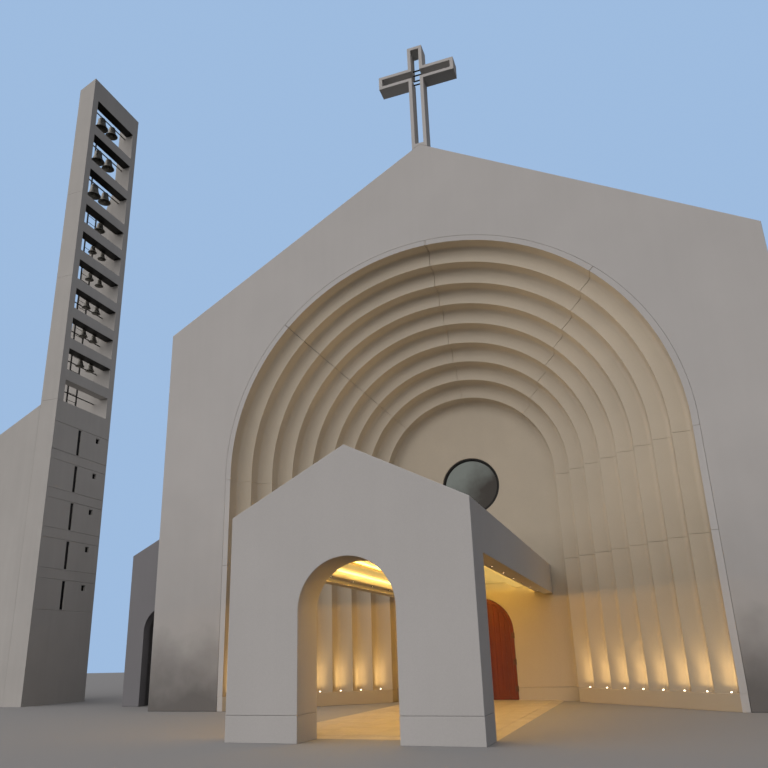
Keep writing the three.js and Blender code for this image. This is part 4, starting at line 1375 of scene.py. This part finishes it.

# %% [markdown]
# Behind the bells stands a steel ladder for the bell ringers: two square posts that stand on the shaft,
# round rungs between them, and a rail across each of the four lowest openings. Under the beams over all
# but the lowest opening lies a thin dark steel plate from pier to pier, which darkens their undersides.
# All of these are plain bars.

# %% Belfry ladder and soffit plates
LADDER_X = -19.94
LADDER_POSTS = (3.86, 4.5)
LADDER_HALF = 0.03
RUNG_PITCH = 0.4
RUNG_RADIUS = 0.013
RUNG_STEPS = 8
RAIL_RADIUS = 0.028
RAIL_DROP = 0.2
RAIL_COUNT = 4
SOFFIT_PLATE = 0.02


def add_belfry_ladder():
    bm = bmesh.new()
    foot = tower_high.z
    tops = (openings[-1][1], openings[FIRST_TALL][0])
    for y, top in zip(LADDER_POSTS, tops):
        low = (LADDER_X - LADDER_HALF, y - LADDER_HALF, foot)
        block(bm, low, (LADDER_X + LADDER_HALF, y + LADDER_HALF, top))
    for i in range(int((tops[1] - foot) / RUNG_PITCH)):
        z = foot + RUNG_PITCH * (i + 0.5)
        rod(bm, *((LADDER_X, y, z) for y in LADDER_POSTS), RUNG_RADIUS, RUNG_STEPS)
    x = LADDER_X + LADDER_HALF + RAIL_RADIUS
    ends = (opening_low_y + JOINT_HALF, opening_high_y - JOINT_HALF)
    for _, head in openings[:RAIL_COUNT]:
        rod(bm, *((x, y, head - RAIL_DROP) for y in ends), RAIL_RADIUS)
    finish_piece("belfry_ladder", bm, [DARK_STEEL])


def add_dark_soffit_plates():
    # A thin dark plate under each beam, which darkens its underside.
    bm = bmesh.new()
    play = JOINT_HALF / 2
    for _, head in openings[1:]:
        low = (tower_high.x - BEAM_DEPTH + ARRIS, opening_low_y + play, head - SOFFIT_PLATE)
        block(bm, low, (tower_high.x - ARRIS, opening_high_y - play, head + play))
    finish_piece("dark_soffit_plates", bm, [DARK_STEEL])


add_belfry_ladder()
add_dark_soffit_plates()

# %% [markdown]
# Bells are the purest turned shape there is. The profile runs down the outside from the crown over the
# shoulder, the waist and the flaring lip, and back up the inside. Each bell hangs from a pipe by a
# short stub, and inside it hangs a clapper with a round ball.

# %% Bells
LARGE_BELL_X = -19.6
SMALL_BELL_X = -19.66
POST_LOW = (-19.72, 3.17)
POST_HIGH = (-19.62, 3.23)
PIPE_RADIUS = 0.035
BELL_STEPS = 40
BELL_WALL = 0.08
CROWN_PART = 0.6
BELL_CURVE = [
    (0, 1), (0.2, 0.995), (0.36, 0.975), (0.45, 0.94), (0.49, 0.89), (0.51, 0.82), (0.53, 0.72),
    (0.56, 0.6), (0.6, 0.47), (0.66, 0.34), (0.74, 0.22), (0.84, 0.12), (0.93, 0.05), (0.985, 0.015),
    (1, 0),
]
BALL_PART = 0.16
BALL_CURVE = [(0, -0.3), (0.7, 0), (1, 0.7), (0.7, 1.4), (0.25, 1.9)]
CLAPPER_TOP = 0.85
# The bells of one opening: y, radius, height, and how far the lip hangs below the opening's head.
LARGE_BELLS = ((3.75, 0.39, 0.7, 0.9), (4.62, 0.35, 0.6, 0.76))
MIDDLE_BELL = ((4.55, 0.3, 0.48, 0.4),)
SMALL_BELLS = ((4.2, 0.23, 0.37, 0.29), (4.95, 0.23, 0.37, 0.29))
BELLS = [SMALL_BELLS] * (FIRST_TALL - 1) + [MIDDLE_BELL] + [LARGE_BELLS] * TALL_COUNT
BRONZE = metal_finish("bell_bronze", (0.25, 0.24, 0.215), roughness=0.45)


def add_bell(bm, x, y, lip, radius, height):
    wall = radius * BELL_WALL
    outside = scaled(BELL_CURVE, radius, height)
    inside = [(max(r - wall, 0), h - wall * CROWN_PART) for r, h in reversed(outside[1:-1])]
    profile = outside + [(radius - wall, 0)] + inside + [(0, height - wall)]
    turn(bm, profile, (x, y, lip), BELL_STEPS)
    clapper = scaled(BALL_CURVE, radius * BALL_PART, radius * BALL_PART)
    top = height * CLAPPER_TOP
    turn(bm, clapper + [(clapper[-1][0], top), (0, top)], (x, y, lip))


def add_bell_rack(name, indices, bottom, top, replaced):
    """A post, a pipe in each opening, and the bells that hang from the pipes."""
    bm = bmesh.new()
    block(bm, (*POST_LOW, bottom), (*POST_HIGH, top))
    for index in indices:
        head = openings[index][1]
        bells = BELLS[index]
        x = LARGE_BELL_X if bells is LARGE_BELLS else SMALL_BELL_X
        _, _, height, drop = bells[0]
        pipe = head - drop + height + 2 * PIPE_RADIUS
        rod(bm, *((x, y, pipe) for y in (opening_low_y + HAIR, opening_high_y - HAIR)), PIPE_RADIUS)
        for y, radius, height, drop in bells:
            lip = head - drop
            rod(bm, (x, y, lip + height - PIPE_RADIUS), (x, y, pipe + PIPE_RADIUS), PIPE_RADIUS)
            add_bell(bm, x, y, lip, radius, height)
    finish_piece(name, bm, [BRONZE], [replaced])


rack_joint = openings[FIRST_TALL][0]
rack_top = openings[-1][1] + BEAM_HEIGHT / 2
short, tall = range(1, FIRST_TALL), range(FIRST_TALL, len(openings))
add_bell_rack("small_bells", short, tower_high.z, rack_joint, "bells_short_openings")
add_bell_rack("large_bells", tall, rack_joint, rack_top, "bells_tall_openings")

# %% [markdown]
# The floor of the nave can only be glimpsed when the doors stand open. Its plain solid from the frame is
# good enough, so it stays and only gets the finish of the flags, in another tone.

# %% Nave floor
nave_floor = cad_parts["nave_floor"]
nave_floor.data.materials.clear()
nave_floor.data.materials.append(flag_finish("nave_flags", (0.4, 0.37, 0.32)))
print("nave floor finished")

# %% [markdown]
# The light is that of an open sky with the sun low behind the viewer's left shoulder, but without a hard
# sun: the world is a soft dome that is brighter on one side. Seen by the camera it is a plain pale blue.
# A large plain floor carries the building, and small warm lamps do the work of the real fittings.

# %% Sky
SKY_BASE = (0.18, 0.202, 0.242)
SKY_KEY = (1.43, 1.355, 1.275)
KEY_DIRECTION = (-0.54, -0.77, 0.40)
BACKDROP = (0.34, 0.50, 0.74)
FLOOR_SEEN = (0.25, 0.245, 0.245)
FLOOR_BOUNCE = (0.03, 0.028, 0.025)
FLOOR_HALF = 90
HORIZON = 0.02


def add_sky():
    world = bpy.data.worlds.new("sky")
    bpy.context.scene.world = world
    world.use_nodes = True
    tree = world.node_tree
    direction = node(tree, "TexCoord", output="Generated")
    inputs = {0: direction, 1: Vector(KEY_DIRECTION).normalized()}
    facing = node(tree, "VectorMath", inputs, "Value", operation="DOT_PRODUCT")
    brightest = [base + key for base, key in zip(SKY_BASE, SKY_KEY)]
    sky = blend(tree, spread(tree, facing, low=0, high=1), SKY_BASE, brightest)
    height = node(tree, "SeparateXYZ", {0: direction}, Z)
    dome = blend(tree, spread(tree, height, -HORIZON, HORIZON), FLOOR_BOUNCE, sky)
    seen = node(tree, "LightPath", output="Is Camera Ray")
    feed(tree, tree.nodes["Background"], {"Color": blend(tree, seen, dome, BACKDROP)})


def add_floor():
    material, tree = new_finish("studio_floor")
    seen = node(tree, "LightPath", output="Is Camera Ray")
    fill_shader(tree, Base_Color=blend(tree, seen, FLOOR_BOUNCE, FLOOR_SEEN), Roughness=0.95)
    bm = bmesh.new()
    draw(bm, rectangle(-FLOOR_HALF, -FLOOR_HALF, FLOOR_HALF, FLOOR_HALF), floor_plane(0))
    mesh = bpy.data.meshes.new("studio_floor")
    bm.to_mesh(mesh)
    bm.free()
    mesh.materials.append(material)
    floor = bpy.data.objects.new("studio_floor", mesh)
    bpy.context.scene.collection.objects.link(floor)


bpy.context.scene.view_settings.view_transform = "Standard"
add_sky()
add_floor()
print("sky and floor added")

# %% [markdown]
# The fittings only glow, so they need lamps of their own that light the stone. A spot lamp shines evenly
# over its cone, but a real reflector throws most light along its axis. So the strength of each beam is
# made from the cosine of the angle to the axis: a high power of it is a narrow beam, a low power a wide
# one, and the uplight is the sum of both. The downlights reach almost to the side, so the warm light on
# the walls stops in a straight line level with the beam.

# %% Helpers for lamps
WIDE_ANGLE = 179
EDGE_BLEND = 0.03


def hang_lamp(name, data, place, direction):
    """Points a lamp in a direction, with its length along the porch, and keeps it out of sight."""
    back = -direction.normalized()
    across = BACKWARD.cross(back).normalized()
    along = back.cross(across)
    lamp = bpy.data.objects.new(name, data)
    lamp.matrix_world = Matrix.Translation(place) @ Matrix((across, along, back)).transposed().to_4x4()
    lamp.visible_camera = False
    bpy.context.scene.collection.objects.link(lamp)


def new_lamp(name, kind, power, colour):
    data = bpy.data.lights.new(name, kind)
    data.energy = power
    data.color = colour
    return data


def beam_lamp(name, power, colour, lobes, radius):
    """A spot whose beam is a sum of lobes: a weight times a power of the cosine to the axis."""
    data = new_lamp(name, "SPOT", power, colour)
    data.spot_size = math.radians(WIDE_ANGLE)
    data.spot_blend = EDGE_BLEND
    data.shadow_soft_size = radius
    data.use_nodes = True
    tree = data.node_tree
    along = node(tree, "SeparateXYZ", {0: node(tree, "TexCoord", output="Normal")}, Z)
    cosine = calculate(tree, "MULTIPLY", along, -1)
    total = 0
    for weight, sharpness in lobes:
        lobe = calculate(tree, "MULTIPLY", calculate(tree, "POWER", cosine, sharpness), weight)
        total = calculate(tree, "ADD", lobe, total)
    feed(tree, tree.nodes["Emission"], {"Strength": total})
    return data


def light_strip(name, width, length, power, colour):
    data = new_lamp(name, "AREA", power, colour)
    data.shape = "RECTANGLE"
    data.size = width
    data.size_y = length
    return data


print("lamp helpers ready")

# %% [markdown]
# Now the lamps themselves. A spot stands in each uplight and hangs at each downlight, but not close to
# the portal wall, which it would burn out. Strips on the lips wash the ceiling, and two broad faint
# panels, one up and one down, stand for the light that the plaster throws to and fro.

# %% Lamps
UPLIGHT_POWER = 195
UPLIGHT_COLOUR = (1.0, 0.70, 0.33)
UPLIGHT_LOBES = ((1.0, 30), (0.09, 4))
DOWNLIGHT_POWER = 46
DOWNLIGHT_COLOUR = (1.0, 0.5, 0.09)
DOWNLIGHT_LOBES = ((0.4, 0), (1.0, 4))
WALL_CLEAR = 1.0
COVE_POWER = 80
COVE_COLOUR = (1.0, 0.68, 0.2)
COVE_LEAN = 0.9
OUTER_COVE_X = 2.22
INNER_COVE_X = 1.6
# Name, distance from the axis, and height.
COVES = (("outer", OUTER_COVE_X, LIP_TOP), ("inner", INNER_COVE_X, board_top))
STRIP_WIDTH = 0.06
# Name, half width, height, direction, power and colour.
PANELS = (
    ("ceiling_glow", TRAY_OPENING, OUTER_TRAY, -UPWARD, 100, (1.0, 0.54, 0.03)),
    ("tray_wash", TRAY_POCKET, LIP_TOP, UPWARD, 50, (1.0, 0.92, 0.35)),
)
beam = beam_lamp("uplight_beam", UPLIGHT_POWER, UPLIGHT_COLOUR, UPLIGHT_LOBES, UPLIGHT_RADIUS / 2)
lens_top = RING_LIFT + LENS_RISE + UPLIGHT_RADIUS / 2
for i, place in enumerate(uplight_places):
    hang_lamp(f"uplight_lamp_{i}", beam, place + UPWARD * lens_top, UPWARD)
beam = beam_lamp("downlight_beam", DOWNLIGHT_POWER, DOWNLIGHT_COLOUR, DOWNLIGHT_LOBES, DOWNLIGHT_RADIUS)
for i, place in enumerate(downlight_places):
    if PORTAL_FRONT - place.y > WALL_CLEAR:
        level = Vector((place.x, place.y, BEAM_BOTTOM - TRIM))
        hang_lamp(f"downlight_lamp_{i}", beam, level, -UPWARD)
strip_length = PORTAL_FRONT - PORCH_BACK - 2 * STRIP_WIDTH
strip_middle = (PORTAL_FRONT + PORCH_BACK) / 2
for name, side in SIDES.items():
    for level, x, z in COVES:
        strip = light_strip(f"{level}_cove_{name}", STRIP_WIDTH, strip_length, COVE_POWER, COVE_COLOUR)
        place = Vector((side * x, strip_middle, z + STRIP_WIDTH / 3))
        hang_lamp(f"{level}_cove_{name}", strip, place, Vector((-side * COVE_LEAN, 0, 1)))
for name, half_width, z, direction, power, colour in PANELS:
    panel = light_strip(name, 2 * half_width, strip_length, power, colour)
    hang_lamp(name, panel, Vector((0, strip_middle, z)), direction)
